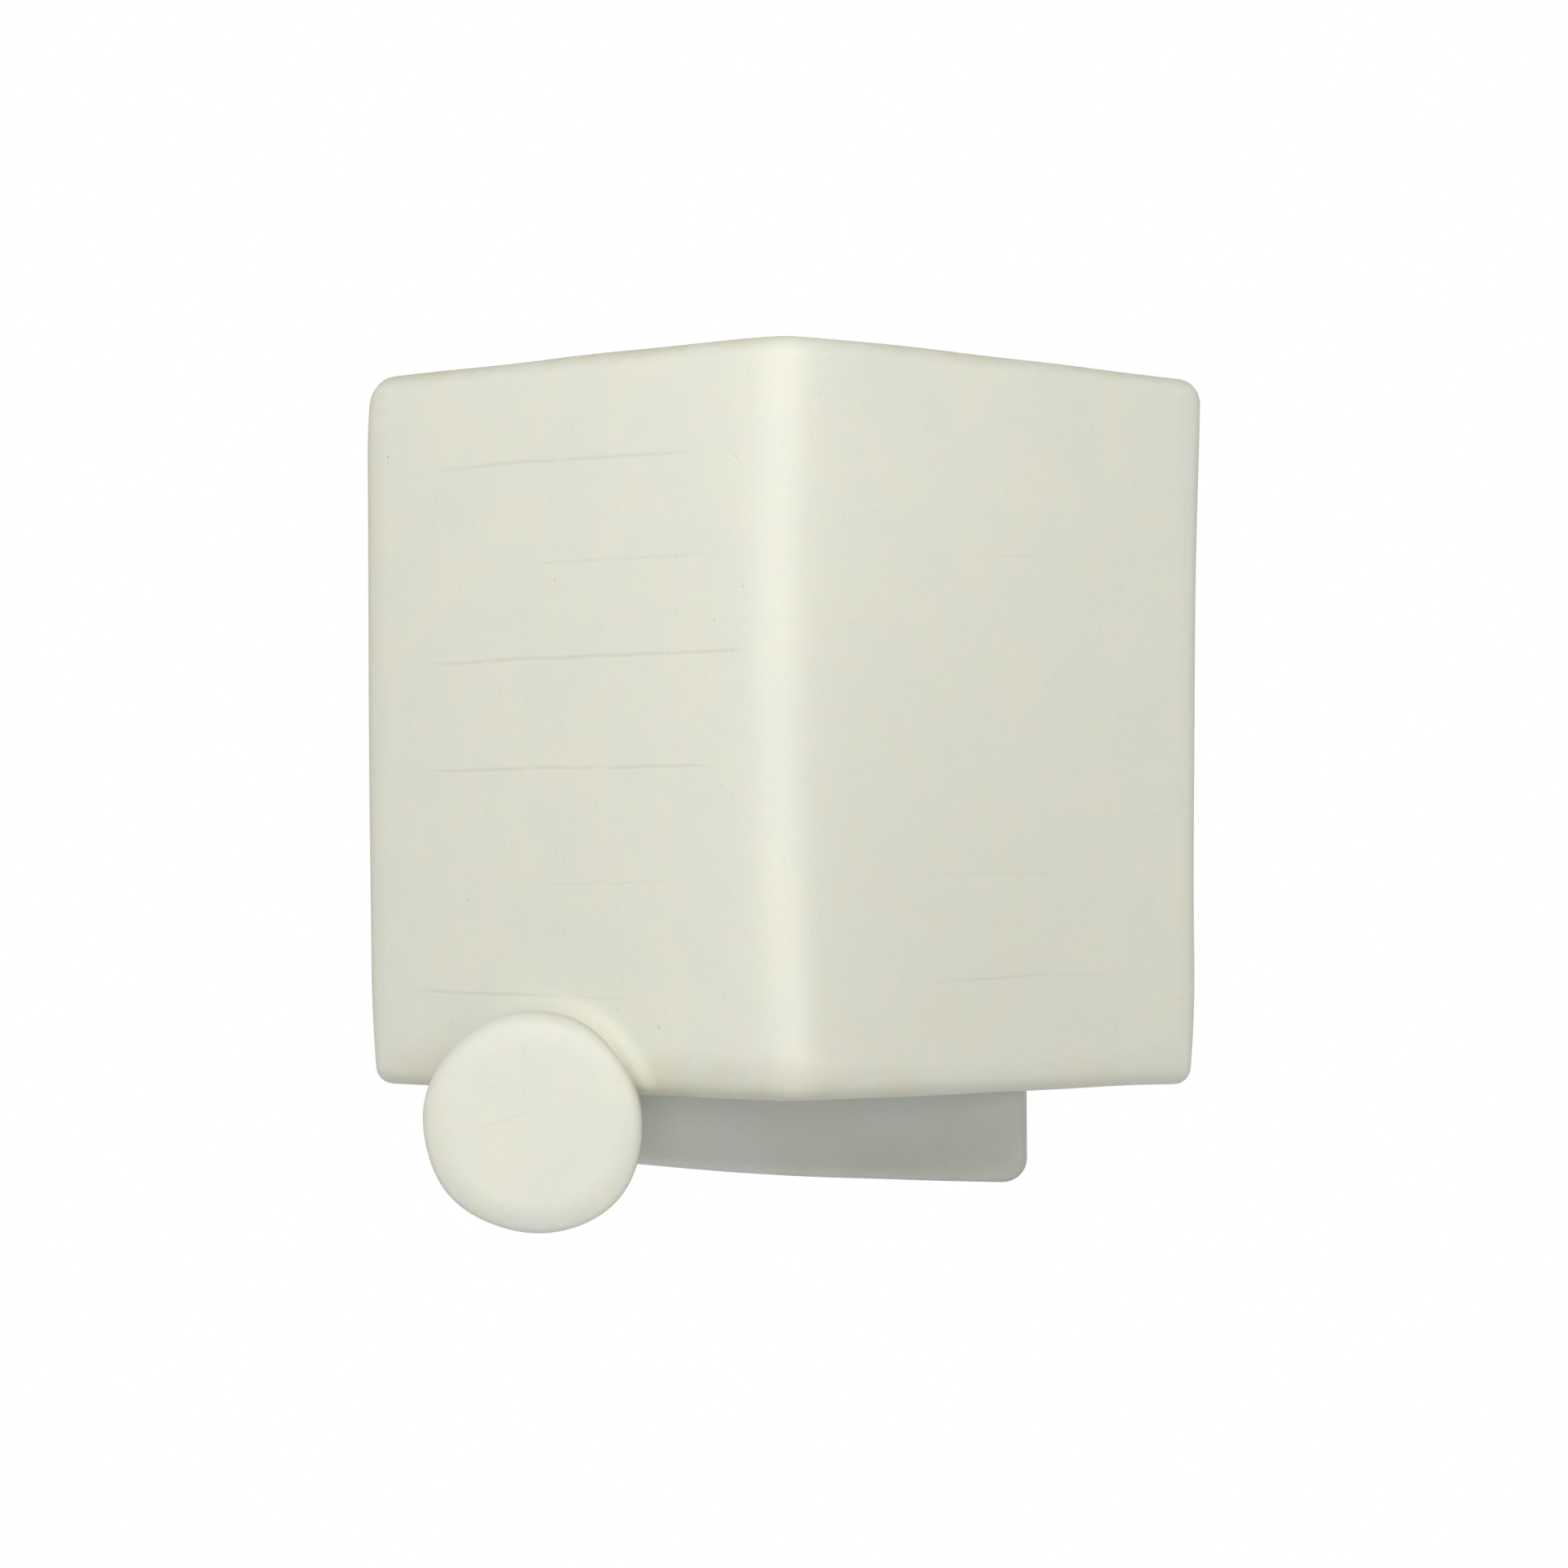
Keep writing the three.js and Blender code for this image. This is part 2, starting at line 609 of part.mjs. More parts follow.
// A fillet of clay between the drum's side and the wing's outside, over the arc where the wing is
function collar() {
  const reachBottom = shadeBottom + halfSlab;
  const firstAngle = Math.asin(Math.min((reachBottom - knobZ) / (drumRadius + collarReach), 1));
  const inside = Math.min(halfSlab, drumWall) / 2;
  const points = [];
  const ring = collarSteps + 3;
  for (let i = 0; i <= collarColumns; i += 1) {
    const share = i / collarColumns;
    const angle = firstAngle + share * (Math.PI - 2 * firstAngle);
    const swell = Math.sin(share * Math.PI) ** 0.5;
    const reach = collarReach * Math.max(swell, inside / collarReach);
    const wingAt = (radius) => (
      leftWingOut(knobX + radius * Math.cos(angle), knobZ + radius * Math.sin(angle))
    );
    const rootOut = wingAt(drumRadius);
    const topOut = Math.min(rootOut + reach, drumFace - drumEdgeRadius / 2);
    const section = [];
    for (let k = 0; k <= collarSteps; k += 1) {
      // Quadratic curve from the drum's side, past the corner, to the wing's face
      const t = k / collarSteps;
      const far = t ** 2;
      section.push([
        drumRadius + reach * far,
        (1 - t) ** 2 * topOut + 2 * t * (1 - t) * rootOut + far * wingAt(drumRadius + reach),
      ]);
    }
    section.push([drumRadius + reach, wingAt(drumRadius + reach) - inside]);
    section.push([drumRadius - inside, wingAt(drumRadius) - inside]);
    section[0][0] = drumRadius - inside;
    for (const [radius, out] of section) {
      points.push(knobX + radius * Math.cos(angle), -out, knobZ + radius * Math.sin(angle));
    }
  }
  const triangles = [];
  for (let i = 0; i < collarColumns; i += 1) {
    for (let j = 0; j < ring; j += 1) {
      const [a, b] = [i * ring + j, i * ring + (j + 1) % ring];
      triangles.push(a, b, a + ring, b, b + ring, a + ring);
    }
  }
  for (let j = 1; j < ring - 1; j += 1) {
    const last = collarColumns * ring;
    triangles.push(0, j + 1, j, last, last + j, last + j + 1);
  }
  const geometry = new THREE.BufferGeometry();
  geometry.setAttribute('position', new THREE.Float32BufferAttribute(points, 3));
  geometry.setIndex(triangles);
  return geometry;
}

function shadeGeometry() {
  const clay = [crossWeb(), drumOutside(), collar()]
    .reduce((body, piece) => body.add(solid(piece)), solid(foldedSlab()));
  const tools = [
    rodOut(drumBore, drumRear - overrun, drumInside, fineSides, knobX, knobZ),
    rodOut(bushingRadius + seat, drumInside - overrun, drumFace + overrun, smallSides, knobX, knobZ),
    rodOut(studHole, webRear - overrun, webFront + overrun, smallSides, -studX, 0),
    rodOut(studHole, webRear - overrun, webFront + overrun, smallSides, studX, 0),
    ...[-bracketScrewX, bracketScrewX].map((x) => bracketScrewHole(x)),
  ];
  return fromSolid(tools.reduce((body, tool) => body.subtract(solid(tool)), clay));
}

// Countersunk from the web's rear
function bracketScrewHole(x) {
  const shank = bracketScrewRadius + seat;
  const head = bracketScrewHeadRadius + seat;
  return turnedOut([
    [0, webRear - overrun], [head, webRear - overrun], [head, webRear + seat],
    [shank, webRear + seat + head - shank], [shank, webFront + overrun], [0, webFront + overrun],
  ], smallSides, x, bracketScrewZ);
}

// Wall plate

function plateOutline(inset) {
  const half = plateWidth / 2 - inset;
  const top = plateHeight / 2 - inset;
  const bottom = -plateHeight / 2 + inset;
  const radius = Math.max(plateCornerRadius - inset, plateEdgeRadius);
  const corners = [
    [-half, bottom + plateLeftRise], [plateMiddleShare * half, bottom - plateMiddleDrop],
    [half, bottom - plateRightDrop],
    [half, top], [-half, top],
  ].map(([x, z]) => new THREE.Vector2(x, z));
  return roundedOutline(corners, [radius, 2 * radius, radius, radius, radius]);
}

function wallPlateGeometry() {
  const block = new THREE.ExtrudeGeometry(plateOutline(plateEdgeRadius), {
    depth: plateDepth - plateEdgeRadius + overrun,
    bevelThickness: plateEdgeRadius,
    bevelSize: plateEdgeRadius,
    bevelSegments: plateBevelSteps,
    curveSegments: edgeSteps,
  }).rotateX(Math.PI / 2).translate(0, overrun, 0);
  const reach = plateWidth + plateHeight;
  const wallSide = box(-reach, reach, -reach, 0, -reach, reach);
  const hollow = slabOut(plateOutline(plateSideWall), -overrun, plateDepth - plateFrontWall);
  const front = [plateDepth - plateFrontWall - overrun, plateDepth + overrun];
  return cut(
    block, wallSide, hollow,
    rodOut(studHole, ...front, smallSides, -studX, 0),
    rodOut(studHole, ...front, smallSides, studX, 0),
    rodOut(grommetNeckRadius + seat, ...front, smallSides, 0, lampLeadZ),
    rodOut(grommetNeckRadius + seat, ...front, smallSides, dimmerLeadX, dimmerLeadZ),
  );
}

// A rubber ring with a groove that holds the plate's front wall
function grommetGeometry(x, z) {
  const back = plateDepth - plateFrontWall;
  return turnedOut([
    [grommetBore, back - seat - grommetFlange], [grommetFlangeRadius, back - seat - grommetFlange],
    [grommetFlangeRadius, back - seat], [grommetNeckRadius, back - seat],
    [grommetNeckRadius, plateDepth], [grommetBore, plateDepth],
    [grommetBore, back - seat - grommetFlange],
  ], smallSides, x, z);
}

// Mounting bar and what clamps the light to it

function barGeometry() {
  const half = barWidth / 2;
  const top = barHeight / 2;
  const tongue = blockWidth / 2 + tongueMargin;
  const foot = blockBottom - tongueBelowBlock;
  const corners = [
    [-half, -top], [-tongue, -top], [-tongue, foot], [tongue, foot], [tongue, -top],
    [half, -top], [half, top], [-half, top],
  ].map(([x, z]) => new THREE.Vector2(x, z));
  const shape = roundedOutline(corners, corners.map(() => barCornerRadius));
  const hole = (x, z, radius) => {
    shape.holes.push(new THREE.Path().absarc(x, z, radius, 0, 2 * Math.PI, true));
  };
  hole(-studX, 0, studRadius + seat);
  hole(studX, 0, studRadius + seat);
  hole(earthX, 0, earthScrewRadius + seat);
  blockScrewPlaces.forEach((x) => hole(x, blockScrewZ, blockScrewRadius + seat));
  for (const side of [-1, 1]) {
    const slot = new THREE.Path();
    const end = barSlotLength / 2 - barSlotWidth / 2;
    slot.absarc(side * barSlotX + end, 0, barSlotWidth / 2, -Math.PI / 2, Math.PI / 2, false);
    slot.absarc(side * barSlotX - end, 0, barSlotWidth / 2, Math.PI / 2, 3 * Math.PI / 2, false);
    slot.closePath();
    shape.holes.push(slot);
  }
  return slabOut(shape, 0, barThickness);
}

function studGeometry(x) {
  return rodOut(studRadius, seat, studFront, smallSides, x, 0);
}

function lockNutGeometry(x) {
  return nutOut(lockNutFlats, studRadius + seat, lockNutBack, lockNutBack + lockNutHeight, x, 0);
}

function washerGeometry(x) {
  return ringOut(studRadius + seat, washerRadius, washerBack, washerBack + washerThickness, smallSides, x, 0);
}

function capNutGeometry(x) {
  const hexFront = capNutBack + capNutHexHeight;
  const hex = solid(slabOut(hexagon(capNutFlats, x, 0), capNutBack, hexFront));
  const dome = quarter(capNutDomeRadius, edgeSteps)
    .map(([across, along]) => [across, hexFront - seat + along]);
  const cap = turnedOut([...dome, [0, hexFront - seat]], smallSides, x, 0);
  const bore = rodOut(studRadius + seat, capNutBack - overrun, studFront + seat, smallSides, x, 0);
  return fromSolid(hex.add(solid(cap)).subtract(solid(bore)));
}

// Earth screw with its lead's ring lug under the head
function earthScrewGeometry() {
  return turnedOut([
    [0, seat], [earthScrewRadius, seat], [earthScrewRadius, earthHeadBack],
    [earthHeadRadius, earthHeadBack], [earthHeadRadius, earthHeadBack + earthHeadHeight / 2],
    [earthHeadRadius / 2, earthHeadBack + earthHeadHeight], [0, earthHeadBack + earthHeadHeight],
  ], smallSides, earthX, 0);
}

function earthLugGeometry() {
  const front = lugBack + lugThickness;
  return ringOut(earthScrewRadius + seat, lugRadius, lugBack, front, smallSides, earthX, 0);
}

// Terminal block

function terminalBlockGeometry() {
  const chamfer = blockMargin * 2;
  const profile = [
    [blockBack, blockBottom], [blockFront - chamfer, blockBottom], [blockFront, blockBottom + chamfer],
    [blockFront, blockTop - chamfer], [blockFront - chamfer, blockTop], [blockBack, blockTop],
  ].map(([out, z]) => new THREE.Vector2(out, z));
  const body = slabAcross(new THREE.Shape(profile), -blockWidth / 2, blockWidth / 2);
  const tools = [];
  for (let way = 0; way < wayCount; way += 1) {
    const across = [wayX(way) - mouthWidth / 2, wayX(way) + mouthWidth / 2];
    const deep = [leadOut - mouthHeight / 2, leadOut + mouthHeight / 2];
    tools.push(box(...across, ...deep, blockBottom - overrun, blockBottom + mouthDepth));
    tools.push(box(...across, ...deep, blockTop - mouthDepth, blockTop + overrun));
  }
  for (const x of blockScrewPlaces) {
    const front = blockFront + overrun;
    const headBack = blockFront - blockScrewHeadHeight - seat;
    tools.push(rodOut(blockScrewRadius + seat, blockBack - overrun, front, smallSides, x, blockScrewZ));
    tools.push(rodOut(blockScrewHeadRadius + seat, headBack, front, smallSides, x, blockScrewZ));
  }
  return cut(body, ...tools);
}

function blockScrewGeometry(x) {
  const headBack = blockFront - blockScrewHeadHeight;
  return turnedOut([
    [0, seat], [blockScrewRadius, seat], [blockScrewRadius, headBack],
    [blockScrewHeadRadius, headBack], [blockScrewHeadRadius, blockFront], [0, blockFront],
  ], smallSides, x, blockScrewZ);
}

// Lamp bracket

function bracketGeometry() {
  const armEnd = lampOut + bracketArmBeyondLamp;
  const innerBend = bracketBend - bracketThickness;
  const shape = new THREE.Shape();
  shape.moveTo(legBack, bracketArmZ + bracketLegHeight);
  shape.lineTo(legBack, bracketArmZ + bracketBend);
  shape.absarc(legBack + bracketBend, bracketArmZ + bracketBend, bracketBend, Math.PI, 1.5 * Math.PI, false);
  shape.lineTo(armEnd, bracketArmZ);
  shape.lineTo(armEnd, armTop);
  shape.lineTo(legFront + innerBend, armTop);
  shape.absarc(legFront + innerBend, armTop + innerBend, innerBend, 1.5 * Math.PI, Math.PI, true);
  shape.lineTo(legFront, bracketArmZ + bracketLegHeight);
  shape.closePath();
  const strip = slabAcross(shape, -bracketWidth / 2, bracketWidth / 2);
  const hole = turnedUp([
    [0, bracketArmZ - overrun], [nippleRadius + seat, bracketArmZ - overrun],
    [nippleRadius + seat, armTop + overrun], [0, armTop + overrun],
  ], smallSides, 0, -lampOut);
  const screwHoles = [-bracketScrewX, bracketScrewX].map((x) => (
    rodOut(bracketScrewRadius + seat, legBack - overrun, legFront + overrun, smallSides, x, bracketScrewZ)
  ));
  return cut(strip, hole, ...screwHoles);
}

function bracketScrewGeometry(x) {
  const front = legFront + seat + bracketNutHeight + seat;
  const cone = bracketScrewHeadRadius - bracketScrewRadius;
  return turnedOut([
    [0, webRear + seat], [bracketScrewHeadRadius, webRear + seat],
    [bracketScrewRadius, webRear + seat + cone], [bracketScrewRadius, front], [0, front],
  ], smallSides, x, bracketScrewZ);
}

function bracketNutGeometry(x) {
  const back = legFront + seat;
  return nutOut(bracketNutFlats, bracketScrewRadius + seat, back, back + bracketNutHeight, x, bracketScrewZ);
}

// Lamp holder and lamp, all about the upright lamp axis

function nippleGeometry() {
  return turnedUp([
    [nippleBore, nippleFoot], [nippleRadius, nippleFoot], [nippleRadius, nippleTop],
    [nippleBore, nippleTop], [nippleBore, nippleFoot],
  ], smallSides);
}

function nippleNutGeometry() {
  const shape = hexagon(nippleNutFlats, 0, 0);
  shape.holes.push(new THREE.Path().absarc(0, 0, nippleRadius + seat, 0, 2 * Math.PI, true));
  const geometry = new THREE.ExtrudeGeometry(shape, {
    depth: nippleNutHeight, bevelEnabled: false, curveSegments: smallSides / 2,
  });
  return geometry.translate(0, 0, nippleNutTop - nippleNutHeight);
}

// A cup with a foot that narrows to the nipple
function holderCapGeometry() {
  const bore = nippleRadius + seat;
  const inner = holderRadius - holderWall;
  const shoulderZ = holderFoot + holderShoulder;
  return turnedUp([
    [bore, holderFoot], [holderFootRadius - holderWall / 2, holderFoot],
    [holderFootRadius, holderFoot + holderWall / 2], [holderRadius, shoulderZ],
    [holderRadius, holderCapTop], [inner, holderCapTop], [inner, shoulderZ + holderWall],
    [bore, shoulderZ + holderWall], [bore, holderFoot],
  ], roundSides);
}

function holderBaseGeometry() {
  const radius = holderRadius - holderWall - seat;
  return turnedUp([[0, baseFoot], [radius, baseFoot], [radius, baseTop], [0, baseTop]], roundSides);
}

function holderSkirtGeometry() {
  const spigot = holderRadius - holderWall - seat;
  const ring = holderRadius + holderRingReach;
  const ringFoot = (skirtFoot + skirtTop - holderRingHeight) / 2;
  const slope = holderRingReach / 2;
  return turnedUp([
    [holderBore, spigotFoot], [spigot, spigotFoot], [spigot, skirtFoot],
    [holderRadius, skirtFoot], [holderRadius, ringFoot], [ring, ringFoot + slope],
    [ring, ringFoot + holderRingHeight - slope], [holderRadius, ringFoot + holderRingHeight],
    [holderRadius, skirtTop - slope], [holderRadius - slope, skirtTop], [holderBore, skirtTop],
    [holderBore, spigotFoot],
  ], roundSides);
}

function bulbContactGeometry() {
  const top = contactFoot + contactHeight;
  return turnedUp([
    [0, contactFoot], [contactRadius / 2, contactFoot], [contactRadius, contactFoot + contactHeight / 2],
    [contactRadius, top], [0, top],
  ], smallSides);
}

// Round thread: two points a turn on its crests and roots
function bulbShellGeometry() {
  const thread = [];
  for (let turn = 0; turn < shellTurns; turn += 1) {
    thread.push([shellRadius - shellThreadDepth, shellFoot + (turn + 1 / 4) * shellPitch]);
    thread.push([shellRadius, shellFoot + (turn + 3 / 4) * shellPitch]);
  }
  return turnedUp([
    [0, shellFoot], [contactRadius + shellThreadDepth, shellFoot], ...thread,
    [shellRadius - shellThreadDepth, shellThreadTop], [shellFlareRadius, shellTop], [0, shellTop],
  ], smallSides);
}

// Open at the neck, round at the top
function bulbGlassGeometry() {
  const domeZ = glassFoot + glassHeight - glassRadius;
  const shoulder = [[glassNeckRadius, glassFoot + glassNeck], [glassRadius, glassFoot + glassShoulder]];
  const outside = [
    [glassNeckRadius, glassFoot], ...shoulder,
    ...quarter(glassRadius, domeSteps).map(([across, along]) => [across, domeZ + along]).reverse(),
  ];
  const innerRadius = glassRadius - glassWall;
  const inside = [
    ...quarter(innerRadius, domeSteps).map(([across, along]) => [across, domeZ + along]),
    [innerRadius, glassFoot + glassShoulder],
    [glassNeckRadius - glassWall, glassFoot + glassNeck],
    [glassNeckRadius - glassWall, glassFoot], [glassNeckRadius, glassFoot],
  ];
  return turnedUp([...outside, ...inside], roundSides);
}

function bulbStemGeometry() {
  const flare = glassNeckRadius - glassWall - stemFlareGap;
  return turnedUp([
    [0, glassFoot], [flare, glassFoot], [flare, glassFoot + stemRadius / 2], [stemRadius, glassFoot + flare],
    [stemRadius, stemTop - stemRadius], [filamentSpread + filamentRadius, stemTop], [0, stemTop],
  ], smallSides);
}

// One upright hoop, its two feet on the stem
class Hoop extends THREE.Curve {
  getPoint(t) {
    const leg = filamentHeight - filamentSpread;
    const arc = Math.PI * filamentSpread;
    const along = t * (2 * leg + arc);
    if (along < leg) return new THREE.Vector3(-filamentSpread, 0, along);
    if (along > leg + arc) return new THREE.Vector3(filamentSpread, 0, 2 * leg + arc - along);
    const angle = Math.PI - (along - leg) / filamentSpread;
    return new THREE.Vector3(filamentSpread * Math.cos(angle), 0, leg + filamentSpread * Math.sin(angle));
  }
}

function roundSection(radius, sides) {
  const shape = new THREE.Shape();
  for (let i = 0; i < sides; i += 1) {
    const angle = (i + 0.5) / sides * 2 * Math.PI;
    const corner = [radius * Math.cos(angle), radius * Math.sin(angle)];
    if (i === 0) shape.moveTo(...corner);
    else shape.lineTo(...corner);
  }
  shape.closePath();
  return shape;
}

function tube(path, radius, steps) {
  return new THREE.ExtrudeGeometry(roundSection(radius, leadSides), {
    extrudePath: path, steps, bevelEnabled: false,
  });
}

function filamentGeometry() {
  return tube(new Hoop(), filamentRadius, smallSides).translate(0, 0, stemTop + seat);
}

// Rotary dimmer and knob, all about the knob's axis

function dimmerBodyGeometry() {
  const rim = dimmerRadius - dimmerEdge;
  return turnedOut([
    [0, dimmerBack], [rim, dimmerBack], [dimmerRadius, dimmerBack + dimmerEdge],
    [dimmerRadius, dimmerFront - dimmerEdge], [rim, dimmerFront],
    [spindleRadius + seat, dimmerFront], [spindleRadius + seat, dimmerFront - dimmerSocketDepth],
    [0, dimmerFront - dimmerSocketDepth],
  ], roundSides, knobX, knobZ);
}

function bushingGeometry() {
  const back = dimmerFront + seat;
  return ringOut(spindleRadius + seat, bushingRadius, back, bushingFront, smallSides, knobX, knobZ);
}

function dimmerWasherGeometry() {
  return ringOut(
    bushingRadius + seat, dimmerWasherRadius, dimmerWasherBack, dimmerWasherBack + dimmerWasherThickness,
    roundSides, knobX, knobZ,
  );
}

function dimmerNutGeometry() {
  const front = dimmerNutBack + dimmerNutHeight;
  return nutOut(dimmerNutFlats, bushingRadius + seat, dimmerNutBack, front, knobX, knobZ);
}

// Round where it runs in the bushing, with a flat from there on to drive the hub
function spindleGeometry() {
  const back = dimmerFront - dimmerSocketDepth + seat;
  const front = hubFront - seat;
  const shaft = rodOut(spindleRadius, back, front, smallSides, knobX, knobZ);
  const flatZ = knobZ + spindleRadius - spindleFlat;
  const flat = box(
    knobX - 2 * spindleRadius, knobX + 2 * spindleRadius, bushingFront, front + overrun,
    flatZ, knobZ + spindleRadius + overrun,
  );
  return cut(shaft, flat);
}

function hubGeometry() {
  const flangeFront = hubBack + hubFlange;
  const hub = turnedOut([
    [0, hubBack], [hubFlangeRadius, hubBack], [hubFlangeRadius, flangeFront],
    [hubRadius, flangeFront], [hubRadius, hubFront], [0, hubFront],
  ], roundSides, knobX, knobZ);
  const through = [hubBack - overrun, hubFront + overrun];
  const bore = solid(rodOut(spindleRadius + seat, ...through, smallSides, knobX, knobZ));
  const flatZ = knobZ + spindleRadius - spindleFlat + seat;
  const flat = box(
    knobX - 2 * spindleRadius, knobX + 2 * spindleRadius, hubBack - 2 * overrun, hubFront + 2 * overrun,
    flatZ, knobZ + 2 * spindleRadius,
  );
  return fromSolid(solid(hub).subtract(bore.subtract(solid(flat))));
}

function knobGeometry() {
  const edge = quarter(knobEdgeRadius, edgeSteps);
  const core = knobRadius - knobEdgeRadius;
  const profile = [
    [0, knobFront],
    ...edge.map(([across, along]) => [core + across, knobFront - knobEdgeRadius + along]),
    ...edge.map(([across, along]) => [core + across, knobBack + knobEdgeRadius - along]).reverse(),
    [0, knobBack],
  ];
  const disc = turnedOut(profile, fineSides);
  const place = disc.attributes.position;
  for (let i = 0; i < place.count; i += 1) {
    const angle = Math.atan2(place.getZ(i), place.getX(i));
    const stretch = 1 + knobOval / knobRadius * Math.cos(2 * (angle - knobOvalAngle * degrees));
    place.setX(i, place.getX(i) * stretch);
    place.setZ(i, place.getZ(i) * stretch);
  }
  disc.translate(knobX, 0, knobZ);
  return cut(
    disc,
    rodOut(knobRecessRadius, knobBack - overrun, recessFloor, roundSides, knobX, knobZ),
    rodOut(hubRadius + seat, recessFloor - overrun, hubFront + seat, roundSides, knobX, knobZ),
  );
}

// A push-in cap with a rim, its hole in line with the wall plate's grommet
function drumCapGeometry() {
  const inner = drumCapOuter + drumCapThickness;
  const rimInside = drumCapRadius - drumCapWall;
  const cap = turnedOut([
    [0, drumCapOuter], [drumCapRadius, drumCapOuter], [drumCapRadius, inner + drumCapRim],
    [rimInside, inner + drumCapRim], [rimInside, inner], [0, inner],
  ], roundSides, knobX, knobZ);
  const through = [drumCapOuter - overrun, inner + overrun];
  return cut(cap, rodOut(grommetBore, ...through, smallSides, dimmerLeadX, dimmerLeadZ));
}

// Insulated leads

// A polyline of [x, out, z] corners, each corner rounded by the lead's bend radius
function leadPath(corners, bend) {
  const points = corners.map(([x, out, z]) => new THREE.Vector3(x, -out, z));
  const path = new THREE.CurvePath();
  let from = points[0];
  for (let i = 1; i < points.length - 1; i += 1) {
    const corner = points[i];
    const before = points[i - 1].clone().sub(corner);
    const after = points[i + 1].clone().sub(corner);
    const start = corner.clone().add(before.setLength(Math.min(bend, before.length() / 2)));
    const end = corner.clone().add(after.setLength(Math.min(bend, after.length() / 2)));
    path.add(new THREE.LineCurve3(from, start));
    path.add(new THREE.QuadraticBezierCurve3(start, corner, end));
    from = end;
  }
  path.add(new THREE.LineCurve3(from, points[points.length - 1]));
  return path;
}

function leadGeometry(corners) {
  const path = leadPath(corners, leadBend);
  return tube(path, leadRadius, Math.ceil(path.getLength() / (2 * leadRadius * leadStep)));
}

const mouthStart = blockBottom + mouthDepth - seat;
const belowBlock = blockBottom - leadBend;

// From a way of the block down, out through the plate's grommet and up into the nipple
function lampLeadGeometry(startX, side) {
  const x = side * leadSpacing / 2;
  return leadGeometry([
    [startX, leadOut, mouthStart], [startX, leadOut, belowBlock], [x, leadOut, lampLeadZ],
    [x, lampOut, lampLeadZ], [x, lampOut, nippleTop - seat],
  ]);
}

// From a way of the block down and across, through plate and cap to the back of the dimmer
function dimmerLeadGeometry(startX, side) {
  const z = dimmerLeadZ + side * leadSpacing / 2;
  return leadGeometry([
    [startX, leadOut, mouthStart], [startX, leadOut, blockBottom - leadRadius * 2],
    [dimmerLeadX, leadOut, z], [dimmerLeadX, dimmerBack - seat, z],
  ]);
}

function earthLeadGeometry() {
  const x = wayX(wayCount - 1);
  const outerX = blockWidth / 2 + 2 * leadRadius;
  const lowZ = belowBlock - leadBend;
  const lugZ = -lugRadius - seat - leadRadius;
  return leadGeometry([
    [x, leadOut, mouthStart], [x, leadOut, lowZ], [outerX + leadBend, leadOut, lowZ],
    [outerX + leadBend, leadOut, lugZ - leadBend], [earthX, lugBack + leadRadius, lugZ],
  ]);
}

// Assembly

function named(name, geometry, finish) {
  const settings = finishes[finish];
  const mesh = new THREE.Mesh(welded(geometry), new THREE.MeshStandardMaterial(settings));
  mesh.name = name;
  return mesh;
}

function group(...children) {
  const made = new THREE.Group();
  made.add(...children);
  return made;
}

const claywork = group(
  named('shade', shadeGeometry(), 'clay'),
  named('wall_plate', wallPlateGeometry(), 'clay'),
);

const fixings = group(
  named('mounting_bar', barGeometry(), 'steel'),
  named('earth_screw', earthScrewGeometry(), 'brass'),
  named('earth_lug', earthLugGeometry(), 'brass'),
);
for (const [side, x] of [['left', -studX], ['right', studX]]) {
  fixings.add(
    named(`stud_${side}`, studGeometry(x), 'steel'),
    named(`lock_nut_${side}`, lockNutGeometry(x), 'steel'),
    named(`washer_${side}`, washerGeometry(x), 'fibre'),
    named(`cap_nut_${side}`, capNutGeometry(x), 'brass'),
  );
}

const wiring = group(
  named('terminal_block', terminalBlockGeometry(), 'white'),
  named('plate_grommet_lamp', grommetGeometry(0, lampLeadZ), 'black'),
  named('plate_grommet_dimmer', grommetGeometry(dimmerLeadX, dimmerLeadZ), 'black'),
  named('dimmer_lead_in', dimmerLeadGeometry(wayX(0), 1), 'brown'),
  named('dimmer_lead_out', dimmerLeadGeometry(wayX(1) - leadSpacing / 2, -1), 'grey'),
  named('lamp_lead_live', lampLeadGeometry(wayX(1) + leadSpacing / 2, -1), 'grey'),
  named('lamp_lead_neutral', lampLeadGeometry(wayX(2), 1), 'blue'),
  named('earth_lead', earthLeadGeometry(), 'green'),
);
['left', 'right'].forEach((side, i) => {
  wiring.add(named(`block_screw_${side}`, blockScrewGeometry(blockScrewPlaces[i]), 'steel'));
});

const bracket = group(named('lamp_bracket', bracketGeometry(), 'steel'));
for (const [side, x] of [['left', -bracketScrewX], ['right', bracketScrewX]]) {
  bracket.add(
    named(`bracket_screw_${side}`, bracketScrewGeometry(x), 'steel'),
    named(`bracket_nut_${side}`, bracketNutGeometry(x), 'steel'),
  );
}

const lamp = group(
  named('nipple', nippleGeometry(), 'brass'),
  named('nipple_nut', nippleNutGeometry(), 'brass'),
  named('holder_cap', holderCapGeometry(), 'black'),
  named('holder_base', holderBaseGeometry(), 'porcelain'),
  named('holder_skirt', holderSkirtGeometry(), 'black'),
  named('bulb_contact', bulbContactGeometry(), 'brass'),
  named('bulb_shell', bulbShellGeometry(), 'steel'),
  named('bulb_glass', bulbGlassGeometry(), 'glass'),
  named('bulb_stem', bulbStemGeometry(), 'glass'),
  named('bulb_filament', filamentGeometry(), 'filament'),
);
lamp.position.set(0, -lampOut, 0);

const dimmer = group(
  named('dimmer_body', dimmerBodyGeometry(), 'black'),
  named('dimmer_bushing', bushingGeometry(), 'brass'),
  named('dimmer_washer', dimmerWasherGeometry(), 'steel'),
  named('dimmer_nut', dimmerNutGeometry(), 'brass'),
  named('drum_cap', drumCapGeometry(), 'white'),
);

